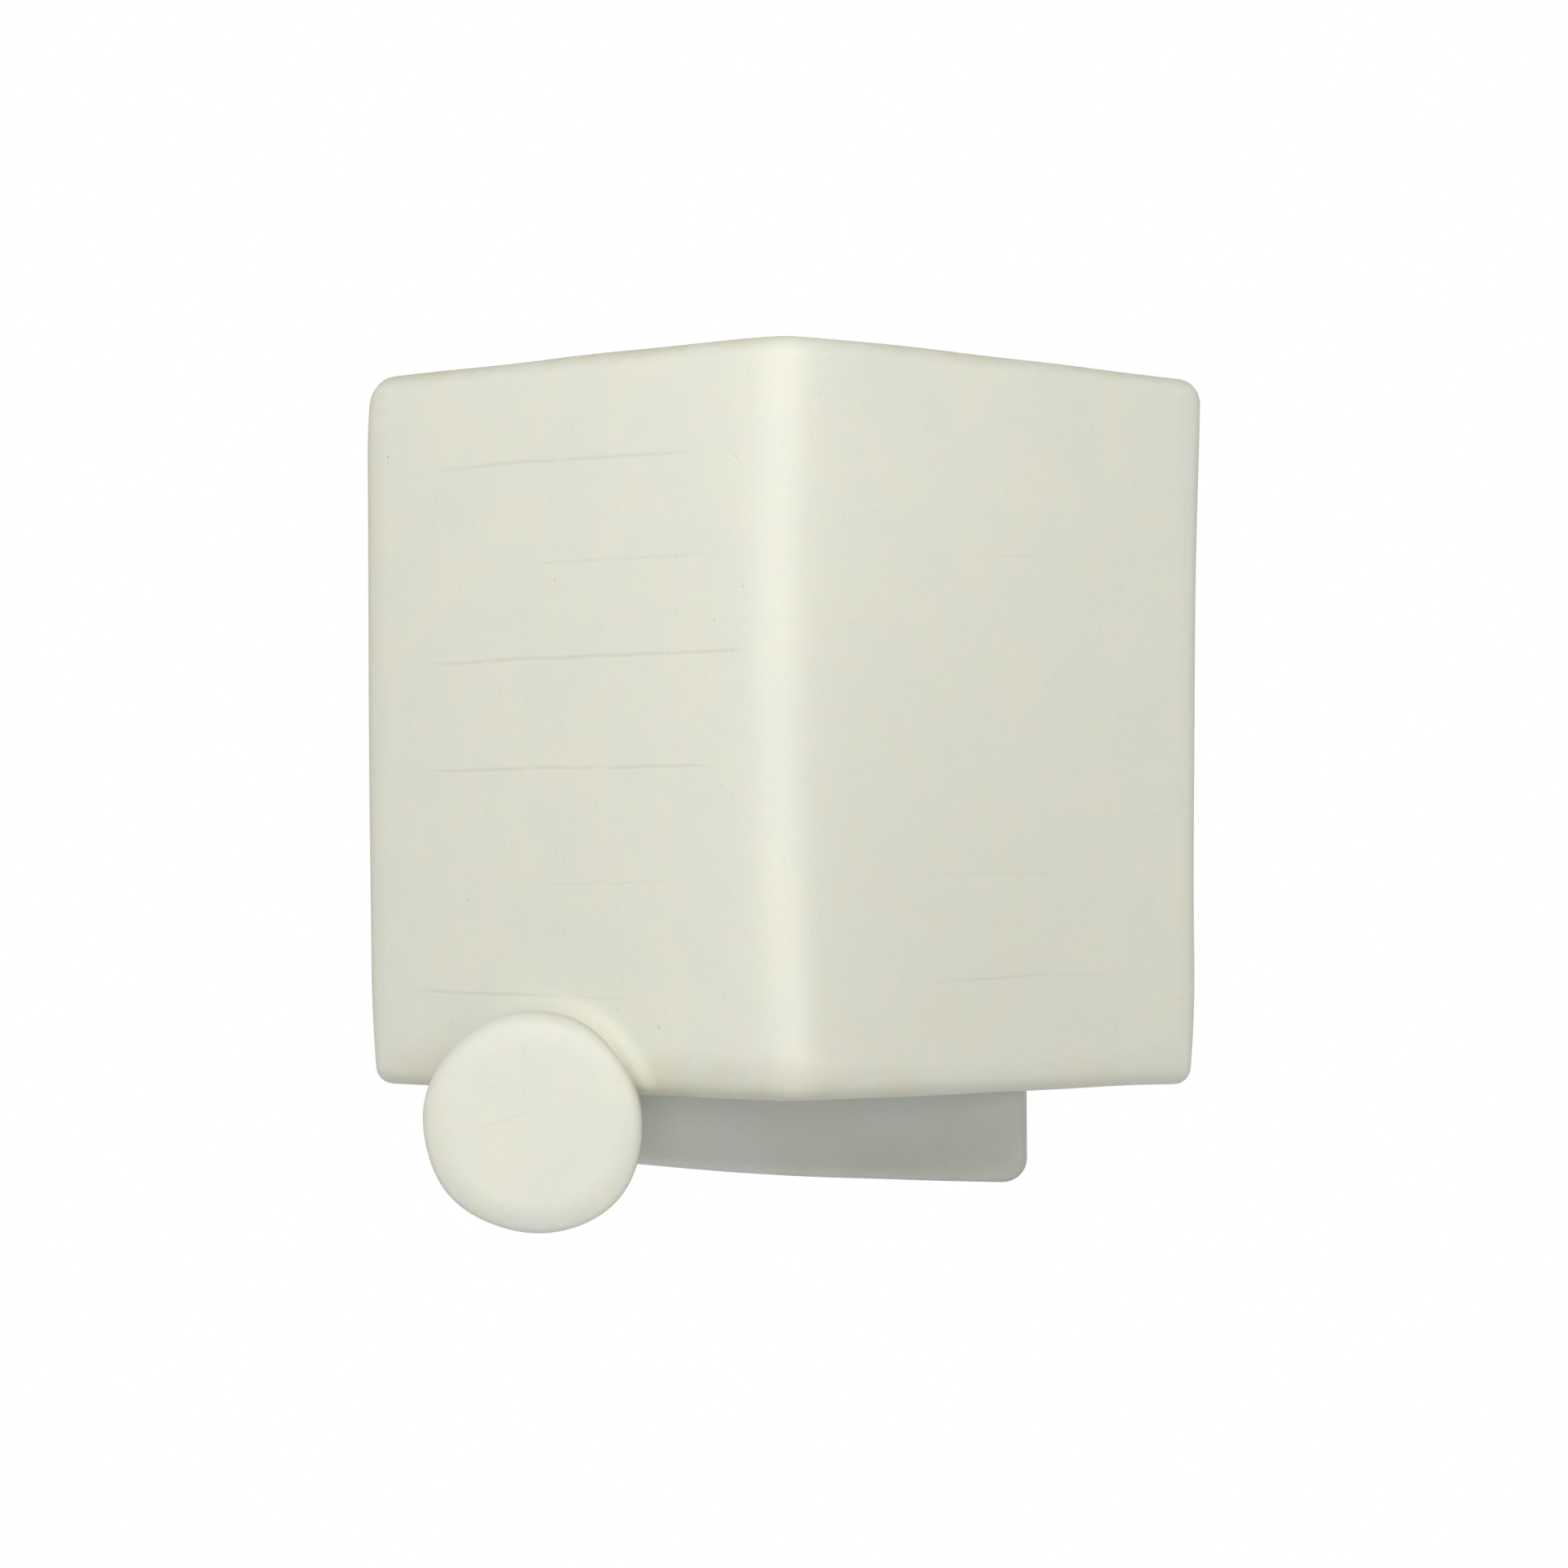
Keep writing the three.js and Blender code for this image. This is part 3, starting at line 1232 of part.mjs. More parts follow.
const turning = group(
  named('knob', knobGeometry(), 'clay'),
  named('knob_hub', hubGeometry(), 'brass'),
  named('dimmer_spindle', spindleGeometry(), 'steel'),
);

const light = group(claywork, fixings, wiring, bracket, lamp, dimmer, turning);

export default light;
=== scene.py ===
"""Looks of a hand-built ceramic wall light: folded clay shade, clay wall plate, clay dimmer knob.

Sizes are in millimetres and places are (x, out, z), where out is the distance from the wall.
Every mesh is turned to Blender's metres, with out as -Y, in one place.
"""

import json
import math
from types import SimpleNamespace

import bmesh
import bpy
import numpy as np
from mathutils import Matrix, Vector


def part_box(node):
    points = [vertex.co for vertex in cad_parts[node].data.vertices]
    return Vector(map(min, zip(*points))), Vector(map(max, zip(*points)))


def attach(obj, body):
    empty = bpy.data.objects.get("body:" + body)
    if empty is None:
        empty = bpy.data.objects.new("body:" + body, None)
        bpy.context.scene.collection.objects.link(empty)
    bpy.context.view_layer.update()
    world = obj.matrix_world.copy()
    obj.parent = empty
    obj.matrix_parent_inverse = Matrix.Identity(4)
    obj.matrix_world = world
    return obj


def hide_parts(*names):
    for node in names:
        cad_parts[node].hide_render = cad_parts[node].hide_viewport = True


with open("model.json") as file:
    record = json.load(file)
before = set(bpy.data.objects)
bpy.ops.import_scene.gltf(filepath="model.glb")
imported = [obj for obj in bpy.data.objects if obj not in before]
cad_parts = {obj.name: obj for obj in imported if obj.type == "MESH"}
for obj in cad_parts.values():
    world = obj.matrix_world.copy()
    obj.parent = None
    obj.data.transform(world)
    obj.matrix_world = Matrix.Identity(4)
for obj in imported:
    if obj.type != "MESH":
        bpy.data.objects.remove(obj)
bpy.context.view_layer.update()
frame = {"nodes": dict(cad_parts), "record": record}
record = frame["record"]
slot_of = {part["node"]: part["material_slot"] for part in record["subparts"]}
body_of = {node: body for body, nodes in record["behaviour"]["bodies"].items() for node in nodes}

millimetre = 0.001
seat = 0.3                   # gap between pieces that rest on or in each other
sides = ("left", "right")
# In the shading, edges sharper than these angles stay sharp
clay_angle, screw_angle, turned_angle, crisp_angle, nut_angle = [
    math.radians(angle) for angle in (60, 45, 40, 30, 24)
]


def span(node):
    """Extent of a CAD node in millimetres: x0..x1, out0..out1, z0..z1, its middle, half its width."""
    low, high = [np.array(corner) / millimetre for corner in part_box(node)]
    return SimpleNamespace(
        x0=low[0], x1=high[0], out0=-high[1], out1=-low[1], z0=low[2], z1=high[2],
        x=(low[0] + high[0]) / 2, out=-(low[1] + high[1]) / 2, z=(low[2] + high[2]) / 2,
        radius=(high[0] - low[0]) / 2,
    )


def axis_of(node, upright=False):
    """Start, end and centre of a turned piece's axis, which points out of the wall or up."""
    box = span(node)
    if upright:
        return box.z0, box.z1, (box.x, box.out)
    return box.out0, box.out1, (box.x, box.z)


# Meshes

def placed(name, points, quads, sharp_angle):
    """A mesh object from (x, out, z) points and four-sided faces. A face with two corners in one point
    loses one of them, unused points go, and an inside-out mesh is turned round."""
    used, quads = np.unique(quads, return_inverse=True)
    quads = quads.reshape(-1, 4)
    points = points[used] * [1, -1, 1] * millimetre
    first = points[quads[:, 0]]
    halves = [np.cross(points[quads[:, i]], points[quads[:, i + 1]]) for i in (1, 2)]
    if np.sum(first * (halves[0] + halves[1])) < 0:
        quads = quads[:, ::-1]
    upper = quads[:, 0] == quads[:, 1]
    lower = quads[:, 2] == quads[:, 3]
    side = quads[:, 0] == quads[:, 3]
    faces = quads[~(upper | lower | side)].tolist() + quads[upper | side][:, 1:].tolist()
    faces += quads[lower & ~upper & ~side][:, :3].tolist()
    mesh = bpy.data.meshes.new(name)
    mesh.from_pydata(points.tolist(), [], faces)
    mesh.polygons.foreach_set("use_smooth", np.ones(len(faces), dtype=bool))
    mesh.set_sharp_from_angle(angle=sharp_angle)
    mesh.validate()
    mesh.update()
    thing = bpy.data.objects.new(name, mesh)
    bpy.context.scene.collection.objects.link(thing)
    return thing


def stands_for(thing, node, material):
    """The object takes the place of a CAD node: its body and a finish."""
    thing.data.materials.clear()
    thing.data.materials.append(material)
    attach(thing, body_of[node])
    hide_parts(node)
    return thing


def dress(node, points, quads, material, sharp_angle=turned_angle):
    return stands_for(placed(f"fine_{node}", points, quads, sharp_angle), node, material)


def soften(node, material, edge):
    """The CAD node's own mesh with its corners joined and its sharp edges rounded."""
    source = frame["nodes"][node]
    mesh = source.data.copy()
    mesh.name = f"fine_{node}"
    shape = bmesh.new()
    shape.from_mesh(mesh)
    bmesh.ops.remove_doubles(shape, verts=shape.verts, dist=millimetre / 100)
    shape.to_mesh(mesh)
    shape.free()
    thing = bpy.data.objects.new(f"fine_{node}", mesh)
    bpy.context.scene.collection.objects.link(thing)
    bevel = thing.modifiers.new("edges", "BEVEL")
    bevel.width = edge * millimetre
    bevel.segments = 3
    bevel.limit_method = "ANGLE"
    bevel.angle_limit = math.radians(35)
    bevel.harden_normals = True
    mesh.polygons.foreach_set("use_smooth", np.ones(len(mesh.polygons), dtype=bool))
    return stands_for(thing, node, material)


def eased(corners, reach, closed=False, steps=5):
    """A polyline with rounded corners: (1-t)^2 start + 2t(1-t) corner + t^2 end runs from a point before
    each corner to one after it. The reach is at most half a side."""
    corners = np.asarray(corners, dtype=float)
    before = np.roll(corners, 1, axis=0)
    after = np.roll(corners, -1, axis=0)
    inner = corners if closed else corners[1:-1]
    before, after = (before, after) if closed else (before[1:-1], after[1:-1])
    back = np.linalg.norm(before - inner, axis=1, keepdims=True)
    ahead = np.linalg.norm(after - inner, axis=1, keepdims=True)
    start = inner + (before - inner) * np.minimum(reach / back, 0.5)
    end = inner + (after - inner) * np.minimum(reach / ahead, 0.5)
    t = np.linspace(0, 1, steps)[None, :, None]
    curve = (1 - t) ** 2 * start[:, None] + 2 * t * (1 - t) * inner[:, None] + t ** 2 * end[:, None]
    curve = curve.reshape(-1, corners.shape[1])
    return curve if closed else np.vstack([corners[:1], curve, corners[-1:]])


def woven(rows, columns, poles, closed):
    """Faces between the rows and columns of a grid. The columns run round, a closed grid joins its last
    row to its first, and a pole is a row whose points are one."""
    index = np.arange(rows * columns).reshape(rows, columns)
    index[poles] = index[poles][:, :1]
    if closed:
        index = np.vstack([index, index[:1]])
    here, there = index[:-1], index[1:]
    corners = [here, np.roll(here, -1, axis=1), np.roll(there, -1, axis=1), there]
    return np.stack(corners, axis=-1).reshape(-1, 4)


def turned(profile, centre, upright=False, columns=64, closed=False, flats=None, relief=None):
    """A profile of (radius, along) rows turned round an axis: a point is centre + radius times
    (cos angle, sin angle), at its row's place along the axis. Flats and relief, functions of angle,
    along and radius, cut the radius back to a length and by a depth."""
    radius, along = np.asarray(profile, dtype=float).T[:, :, None]
    angle = np.linspace(0, 2 * np.pi, columns, endpoint=False)[None, :]
    reach = radius * np.ones_like(angle)
    if flats:
        reach = np.minimum(reach, flats(angle, along, radius))
    if relief:
        reach = reach - relief(angle, along, radius)
    across = reach * np.cos(angle)
    up = reach * np.sin(angle)
    level = along * np.ones_like(angle)
    if upright:
        points = np.stack([centre[0] + across, centre[1] + up, level], axis=-1)
    else:
        points = np.stack([centre[0] + across, level, centre[1] + up], axis=-1)
    poles = np.flatnonzero(radius[:, 0] == 0)
    return points.reshape(-1, 3), woven(len(profile), columns, poles, closed)


def polygon(distance, count):
    """Flats of a polygon: distance / cos(angle from the middle of the nearest side)."""
    half = np.pi / count

    def reach(angle, along, radius):
        return distance / np.cos((angle + half) % (2 * half) - half) + 0 * along
    return reach


def screw_thread(start, end, pitch, depth):
    """Depth of a helical groove: a wave of along / pitch - turn, fading out at both of its ends."""
    def relief(angle, along, radius):
        wave = 0.5 - 0.5 * np.cos(2 * np.pi * along / pitch - angle)
        return depth * wave * np.clip(np.minimum(along - start, end - along) / pitch, 0, 1)
    return relief


def flutes(depth, count, low, high=math.inf, held=None, wave=np.sin):
    """Depth of flutes round a piece, two for each count: between two radii, and where they are held
    along the axis."""
    def relief(angle, along, radius):
        share = held(along) if held else 1
        return depth * share * np.abs(wave(count * angle)) * (radius > low) * (radius < high)
    return relief


def along_thread(radius, start, end, pitch, rows_per_turn=8):
    """Rows of a threaded stretch."""
    count = int(abs(end - start) / pitch * rows_per_turn)
    return [(radius, along) for along in np.linspace(start, end, count)]


def quarter(count):
    return np.linspace(0, math.pi / 2, count)


def spin(node, material, rows, ease=0, steps=5, upright=False, sharp_angle=turned_angle, **form):
    """A node's piece turned round its own axis, from a profile whose corners are rounded."""
    if ease:
        rows = eased(rows, ease, form.get("closed", False), steps)
    dress(node, *turned(rows, axis_of(node, upright)[2], upright, **form), material, sharp_angle)


def swept(path, radius, columns=24):
    """A round tube: at each point of the path, a circle square to the path's direction."""
    path = np.vstack([path[:1], path, path[-1:]])
    girth = np.full(len(path), radius)
    girth[[0, -1]] = 0
    direction = np.gradient(path[1:-1], axis=0)
    direction = np.vstack([direction[:1], direction, direction[-1:]])
    direction /= np.linalg.norm(direction, axis=1, keepdims=True)
    across = np.cross(direction, [0.36, 0.48, 0.8])
    across /= np.linalg.norm(across, axis=1, keepdims=True)
    up = np.cross(direction, across)
    angle = np.linspace(0, 2 * np.pi, columns, endpoint=False)[None, :, None]
    ring = np.cos(angle) * across[:, None] + np.sin(angle) * up[:, None]
    points = path[:, None] + girth[:, None, None] * ring
    return points.reshape(-1, 3), woven(len(path), columns, [0, len(path) - 1], False)


def even(path, step):
    """The same path with points a step apart."""
    run = np.concatenate([[0], np.cumsum(np.linalg.norm(np.diff(path, axis=0), axis=1))])
    wanted = np.linspace(0, run[-1], max(int(run[-1] / step), 2))
    return np.stack([np.interp(wanted, run, path[:, i]) for i in range(3)], axis=-1)


# Carved forms: a field is the distance to the form's surface, negative inside it

corner_offsets = np.array([[i, j, k] for i in (0, 1) for j in (0, 1) for k in (0, 1)])
cell_edges = [(a, b) for a in range(8) for b in range(a + 1, 8)
              if np.abs(corner_offsets[a] - corner_offsets[b]).sum() == 1]


def carved(field, low, high, step, smoothing=3):
    """The surface where a field is nothing. Each grid cell that it crosses gets one point, the mean of
    its crossings with the cell's edges, and each grid edge that it crosses gets one face between the
    cells around it. Points are then evened out, and put back on the surface along the field's slope."""
    low, high = np.array(low, dtype=float), np.array(high, dtype=float)
    counts = np.ceil((high - low) / step).astype(int) + 1
    axes = [low[i] + step * np.arange(counts[i]) for i in range(3)]
    value = field(*np.meshgrid(*axes, indexing="ij"))
    inside = value < 0
    filled = sum(
        inside[i:counts[0] - 1 + i, j:counts[1] - 1 + j, k:counts[2] - 1 + k].astype(np.int8)
        for i, j, k in corner_offsets
    )
    cells = np.argwhere((filled > 0) & (filled < 8))
    number = np.full(filled.shape, -1)
    number[tuple(cells.T)] = np.arange(len(cells))
    at_corner = np.stack([value[tuple((cells + offset).T)] for offset in corner_offsets], axis=-1)
    total = np.zeros((len(cells), 3))
    crossings = np.zeros((len(cells), 1))
    for a, b in cell_edges:
        here, there = at_corner[:, a:a + 1], at_corner[:, b:b + 1]
        crossed = (here < 0) != (there < 0)
        share = np.where(crossed, here / np.where(crossed, here - there, 1), 0)
        place = corner_offsets[a] + share * (corner_offsets[b] - corner_offsets[a])
        total += np.where(crossed, place, 0)
        crossings += crossed
    points = low + step * (cells + total / crossings)

    quads = []
    for axis in range(3):
        shift = np.eye(3, dtype=int)
        one, two = shift[(axis + 1) % 3], shift[(axis + 2) % 3]
        ahead = np.roll(inside, -1, axis)
        starts = np.argwhere(inside != ahead)
        starts = starts[(starts >= 1).all(1) & (starts < counts - 1).all(1)]
        around = [number[tuple((starts - offset).T)] for offset in (one + two, two, 0 * one, one)]
        faces = np.stack(around, axis=-1)
        leaving = inside[tuple(starts.T)]
        quads.append(np.where(leaving[:, None], faces, faces[:, ::-1]))
    quads = np.vstack(quads)

    neighbour = np.vstack([quads[:, [i, (i + 1) % 4]] for i in range(4)])
    degree = np.bincount(neighbour[:, 0], minlength=len(points))[:, None]
    for turn in range(smoothing + 1):
        if turn:
            mean = np.stack([
                np.bincount(neighbour[:, 0], weights=points[neighbour[:, 1], i], minlength=len(points))
                for i in range(3)
            ], axis=-1) / degree
            points = (points + mean) / 2
        points = on_surface(field, points, step)
    return points, quads


def carve(node, field, step, material, sharp_angle=turned_angle):
    """A node's piece as the surface of a field, searched for a little past the node's own box."""
    box, margin = span(node), 2 * step
    low = [box.x0 - margin, box.out0 - margin, box.z0 - margin]
    high = [box.x1 + margin, box.out1 + margin, box.z1 + margin]
    dress(node, *carved(field, low, high, step), material, sharp_angle)


def on_surface(field, points, step, rounds=2):
    """Points moved along the field's slope to where it is nothing, by at most half a grid step."""
    probe, least_steepness = step / 20, 0.25
    for _ in range(rounds):
        here = field(*points.T)
        slope = np.stack([
            field(*(points + probe * row).T) - field(*(points - probe * row).T) for row in np.eye(3)
        ], axis=-1) / (2 * probe)
        steepness = np.maximum(np.sum(slope ** 2, axis=1), least_steepness)
        move = slope * (here / steepness)[:, None]
        length = np.linalg.norm(move, axis=1, keepdims=True)
        points = points - move * np.minimum(1, step / 2 / np.maximum(length, probe * probe))
    return points


def joined(one, other, blend):
    """Union with a fillet: the smaller distance, less blend/4 where both are equal."""
    near = np.maximum(blend - np.abs(one - other), 0) / blend
    return np.minimum(one, other) - near ** 2 * blend / 4


def without(body, tool, blend):
    """The body less the tool, its new edge eased."""
    return -joined(-body, tool, blend)


def rounded(one, other, edge):
    """Where two slabs overlap, with their common edge rounded: the length of both overshoots."""
    one, other = one + edge, other + edge
    return np.hypot(np.maximum(one, 0), np.maximum(other, 0)) + np.minimum(np.maximum(one, other), 0) - edge


def rod(x, z, centre, radius):
    return np.hypot(x - centre[0], z - centre[1]) - radius


def between(level, start, end):
    return np.maximum(start - level, level - end)


# Shade

# Unevenness of the hand work: (height, length of the shortest wave, number of waves)
skin = 0.1                   # the clay keeps this far inside its nominal surface
edge_waves = (0.2, 46, 3)
face_waves = (0.22, 58, 4)
drum_waves = (0.12, 31, 3)
plate_edge_waves = (0.25, 52, 3)
plate_face_waves = (0.15, 64, 4)
knob_face_waves = (0.12, 21, 3)

shade_width = 199.6
shade_flare = 1.2
shade_height = 169.5
shade_lift = 30.3
slab_thickness = 8
ridge_radius = 18
rear_edge_gap = 2.2
wing_turn = math.radians(37.5)
corner_radii = {("left", "top"): 7, ("right", "top"): 6, ("left", "bottom"): 4, ("right", "bottom"): 4}
top_right_drop = 1.0
bottom_corner_sag = 0.6
right_edge_bow = 1.2
left_foot_draw, right_foot_draw, foot_draw_share = 1.5, 1.9, 0.65
left_head_draw, right_head_draw, head_draw_share = 1.3, 0.3, 0.76
ridge_bow, ridge_lean, ridge_set = 3.5, 1.3, 2.2
web_top, web_bottom, web_thickness = 70, -40, 8
pad_height, pad_reach, pad_slope_width = 1.3, 28.9, 5
collar_blend, web_blend, edge_ease = 2, 3, 0.8

half_slab = slab_thickness / 2
half_height = shade_height / 2
half_width = (shade_width + shade_flare) / 2
wing_slope = math.tan(wing_turn)
slant = 1 / math.cos(wing_turn)
edge_x = half_width - half_slab
middle_apex = rear_edge_gap + half_slab + edge_x * wing_slope
inner_apex = middle_apex - half_slab * slant
fold_ease = (ridge_radius - half_slab) * (slant - 1)
half_length = edge_x * slant + half_slab

plate = span("wall_plate")
dimmer = span("dimmer_body")
knob = span("knob")
knob_hub = span("knob_hub")
bushing = span("dimmer_bushing")
knob_centre = (knob_hub.x, knob_hub.z)
drum_wall, drum_front_wall, drum_edge, drum_taper = 3.1, 5, 2, 1
dimmer_play = 2.3
drum_bore = dimmer.radius + dimmer_play
drum_radius = drum_bore + drum_wall
drum_rear = plate.out1 + seat
drum_inside = dimmer.out1 + seat
drum_face = drum_inside + drum_front_wall
web_rear = plate.out1 + seat
stud_places = [(span(f"stud_{side}").x, 0) for side in sides]
bracket_screw_places = [axis_of(f"bracket_screw_{side}")[2] for side in sides]
stud_hole = 3.2
bracket_screw_hole = 2.3
bracket_screw_head = 3.8


def ripple(x, z, height, size, waves):
    """A slow uneven swell: the mean of sine waves, each with its own length, direction and start."""
    growth, turn, start = 0.37, 2.4, 1.7
    total = 0
    for i in range(waves):
        along = x * math.cos(turn * i) + z * math.sin(turn * i)
        total = total + np.sin(2 * np.pi * along / (size * (1 + growth * i)) + start * i)
    return height * (total / waves)


def unfolded(x, out, z):
    """The folded slab laid flat: (s across, n out of its middle surface, height), less the small
    departures of hand work. The middle surface is a hyperbola that runs on into both wings,
    out = apex - root((x slope)^2 + ease^2), and n is measured along its normal."""
    height = (z - shade_lift) / half_height
    side = x / half_width
    right = np.maximum(side, 0)
    flare = 1 + shade_flare * (height - 1) / (2 * half_width)
    ridge = ridge_bow * height ** 2 - ridge_lean * height - ridge_set
    bow = right_edge_bow * right * np.maximum(1 - height ** 2, 0)
    foot = np.maximum(-height - foot_draw_share, 0) / (1 - foot_draw_share)
    head = np.maximum(height - head_draw_share, 0) / (1 - head_draw_share)
    draw = np.where(side > 0, right_foot_draw, left_foot_draw) * foot ** 2 * side ** 3
    draw = draw + np.where(side > 0, right_head_draw, left_head_draw) * head ** 2 * side ** 3
    straight = (x + bow + draw) / flare - ridge
    straight = straight / (1 - np.sign(straight) * ridge / half_width)
    level = (z - shade_lift + top_right_drop * right ** 3 * np.clip(height, 0, 1)
             + bottom_corner_sag * side ** 2 * np.clip(-height, 0, 1))
    root = np.hypot(straight * wing_slope, fold_ease)
    pitch = straight * wing_slope / root
    s = straight * math.cos(wing_turn) + pitch * (middle_apex - out) * math.sin(wing_turn)
    n = (out - middle_apex + root) / np.hypot(1, pitch * wing_slope)
    return s, n, level


def slab_field(x, out, z):
    """Distance to the folded slab: a sheet with rounded corners and fully round edges, which swells a
    little round the drum, where clay was smeared over the joint."""
    s, n, level = unfolded(x, out, z)
    corner = np.where(
        level > 0,
        np.where(s > 0, corner_radii["right", "top"], corner_radii["left", "top"]),
        np.where(s > 0, corner_radii["right", "bottom"], corner_radii["left", "bottom"]),
    ) - half_slab
    uneven = ripple(s, level, *edge_waves)
    beside = np.abs(s) - (half_length - half_slab) + uneven
    above = np.abs(level) - (half_height - half_slab) + uneven
    flat = (np.hypot(np.maximum(beside + corner, 0), np.maximum(above + corner, 0))
            + np.minimum(np.maximum(beside, above) + corner, 0) - corner)
    swell = ripple(s, level, *face_waves)
    fall = np.clip((rod(x, z, knob_centre, pad_reach) + pad_slope_width) / pad_slope_width, 0, 1)
    swell = swell + pad_height * (1 - fall ** 2 * (3 - 2 * fall))
    return np.hypot(np.maximum(flat, 0), n - swell) - half_slab + skin


def shade_field(x, out, z):
    """The slab, a cross web and the knob's drum grown together, less the drum's bore and the holes for
    the dimmer, the studs and the bracket's screws."""
    web_out = between(out, web_rear, web_rear + web_thickness)
    reach = (inner_apex - out) / wing_slope + half_slab
    web = np.maximum(np.maximum(web_out, between(z, web_bottom, web_top)), np.abs(x) - reach)
    share = (drum_face - out) / (drum_face - drum_rear)
    around = rod(x, z, knob_centre, drum_radius - drum_taper * np.clip(share, 0, 1))
    drum = rounded(around, between(out, drum_rear, drum_face), drum_edge) + ripple(x, z + out, *drum_waves)
    clay = joined(joined(slab_field(x, out, z), web, web_blend), drum, collar_blend)
    clay = without(clay, np.maximum(rod(x, z, knob_centre, drum_bore), out - drum_inside), edge_ease)
    clay = without(clay, rod(x, z, knob_centre, bushing.x1 - knob_centre[0] + seat), edge_ease)
    in_web = between(out, web_rear - web_thickness, web_rear + 2 * web_thickness)
    for place in stud_places:
        clay = without(clay, np.maximum(rod(x, z, place, stud_hole), in_web), edge_ease)
    for place in bracket_screw_places:
        widening = np.clip(bracket_screw_head + seat - (out - web_rear), bracket_screw_hole, None)
        clay = without(clay, np.maximum(rod(x, z, place, widening), in_web), edge_ease)
    return clay


def make_shade(material):
    step = 1.3
    carve("shade", shade_field, step, material, clay_angle)


# Wall plate

plate_side_wall = 7
plate_front_wall = 6.5
plate_corner = 6
plate_edge = 2.5
plate_left_rise, plate_middle_drop, plate_right_drop = 4.1, 1, 2
plate_middle_share, plate_foot_ease = 0.14, 0.15
plate_half_width = plate.radius
plate_bottom = -plate.z1
lamp_grommet = span("plate_grommet_lamp")
dimmer_grommet = span("plate_grommet_dimmer")
grommet_hole = 4.5


def plate_outline(x, z, inset, corner):
    """Distance to the hand-cut outline: a rectangle with round corners. Its lower edge bends near the
    middle along a hyperbola, from its slope on the left to its slope on the right."""
    side = x / plate_half_width - plate_middle_share
    left = (plate_left_rise + plate_middle_drop) / (1 + plate_middle_share)
    right = (plate_middle_drop - plate_right_drop) / (1 - plate_middle_share)
    bend = (right - left) / 2 * side + (right + left) / 2 * np.hypot(side, plate_foot_ease)
    foot = plate_bottom - plate_middle_drop + bend
    uneven = ripple(x, z, *plate_edge_waves)
    beside = np.abs(x) - plate_half_width + inset + uneven
    above = np.maximum(z - plate.z1, foot - z) + inset + uneven
    return rounded(beside, above, corner)


def plate_field(x, out, z):
    """A slab with rounded front edges, less the hollow behind it and the holes for studs and grommets."""
    front = out - plate.out1 - ripple(x, z, *plate_face_waves)
    outline = plate_outline(x, z, skin, plate_corner)
    slab = np.maximum(rounded(outline, front + plate_face_waves[0], plate_edge), -out)
    hollow_outline = plate_outline(x, z, plate_side_wall, plate_edge)
    hollow = rounded(hollow_outline, out - (plate.out1 - plate_front_wall), edge_ease)
    clay = without(slab, hollow, edge_ease)
    for place in stud_places:
        clay = without(clay, rod(x, z, place, stud_hole), edge_ease)
    for grommet in (lamp_grommet, dimmer_grommet):
        clay = without(clay, rod(x, z, (grommet.x, grommet.z), grommet_hole), edge_ease)
    return clay


def make_wall_plate(material):
    step = 1.15
    carve("wall_plate", plate_field, step, material)


# Knob

# The knob's outline leaves its circle by waves: their number round it, height and a peak's angle
knob_waves = [(1, 0.05, -158), (2, 0.39, 128), (3, 0.34, 80), (4, 0.09, 59), (5, 0.11, 11), (7, 0.1, 13)]
knob_shrink = 0.28
knob_edge, knob_dome, knob_dome_width = 1.4, 2.5, 7.3
knob_recess, knob_recess_depth, knob_back_share = 11, 5, 0.5
hub_radius, hub_flange, hub_flange_thickness = 6.5, 8, 0.8
spindle_radius, spindle_flat = 3, 1.5


def make_knob(material):
    """A disc turned from a round-edged profile, with a recess and a socket in its back. Its radius is
    slightly wavy. Towards the rim its face falls off with the square of the way."""
    radius = knob.radius - skin
    socket = hub_radius + seat
    floor = knob.out0 + knob_recess_depth
    socket_end = knob_hub.out1 + seat
    outside = eased([(0, knob.out1), (radius, knob.out1), (radius, knob.out0), (knob_recess, knob.out0)],
                    knob_edge, steps=14)[:-1]
    flat_share = 1 - knob_edge / radius
    face = [(radius * share, knob.out1) for share in np.linspace(0, flat_share, 40)[:-1]]
    back = [(radius * share, knob.out0) for share in np.linspace(flat_share, knob_back_share, 6)[1:]]
    inside = eased([back[-1], (knob_recess, knob.out0), (knob_recess, floor), (socket, floor),
                    (socket, socket_end), (0, socket_end)], edge_ease, steps=4)
    profile = np.vstack([face, outside[1:], back, inside[1:]])
    points, quads = turned(profile, knob_centre, columns=160)
    x, out, z = points.T
    across, up = x - knob_centre[0], z - knob_centre[1]
    angle = np.arctan2(up, across)
    reach = np.hypot(across, up)
    rim = np.clip((reach - knob_recess) / (radius - knob_recess), 0, 1)
    uneven = sum(height * np.cos(count * (angle - math.radians(peak))) for count, height, peak in knob_waves)
    stretch = 1 + (uneven - knob_shrink) / radius * rim
    front = np.clip((out - floor) / (knob.out1 - floor), 0, 1)
    falling = np.maximum(reach - radius + knob_dome_width, 0) / knob_dome_width
    crown = knob_dome * falling ** 2 + knob_face_waves[0] - ripple(across, up, *knob_face_waves)
    points = np.stack([knob_centre[0] + across * stretch, out - front * crown,
                       knob_centre[1] + up * stretch], axis=-1)
    dress("knob", points, quads, material, clay_angle)


# Hardware

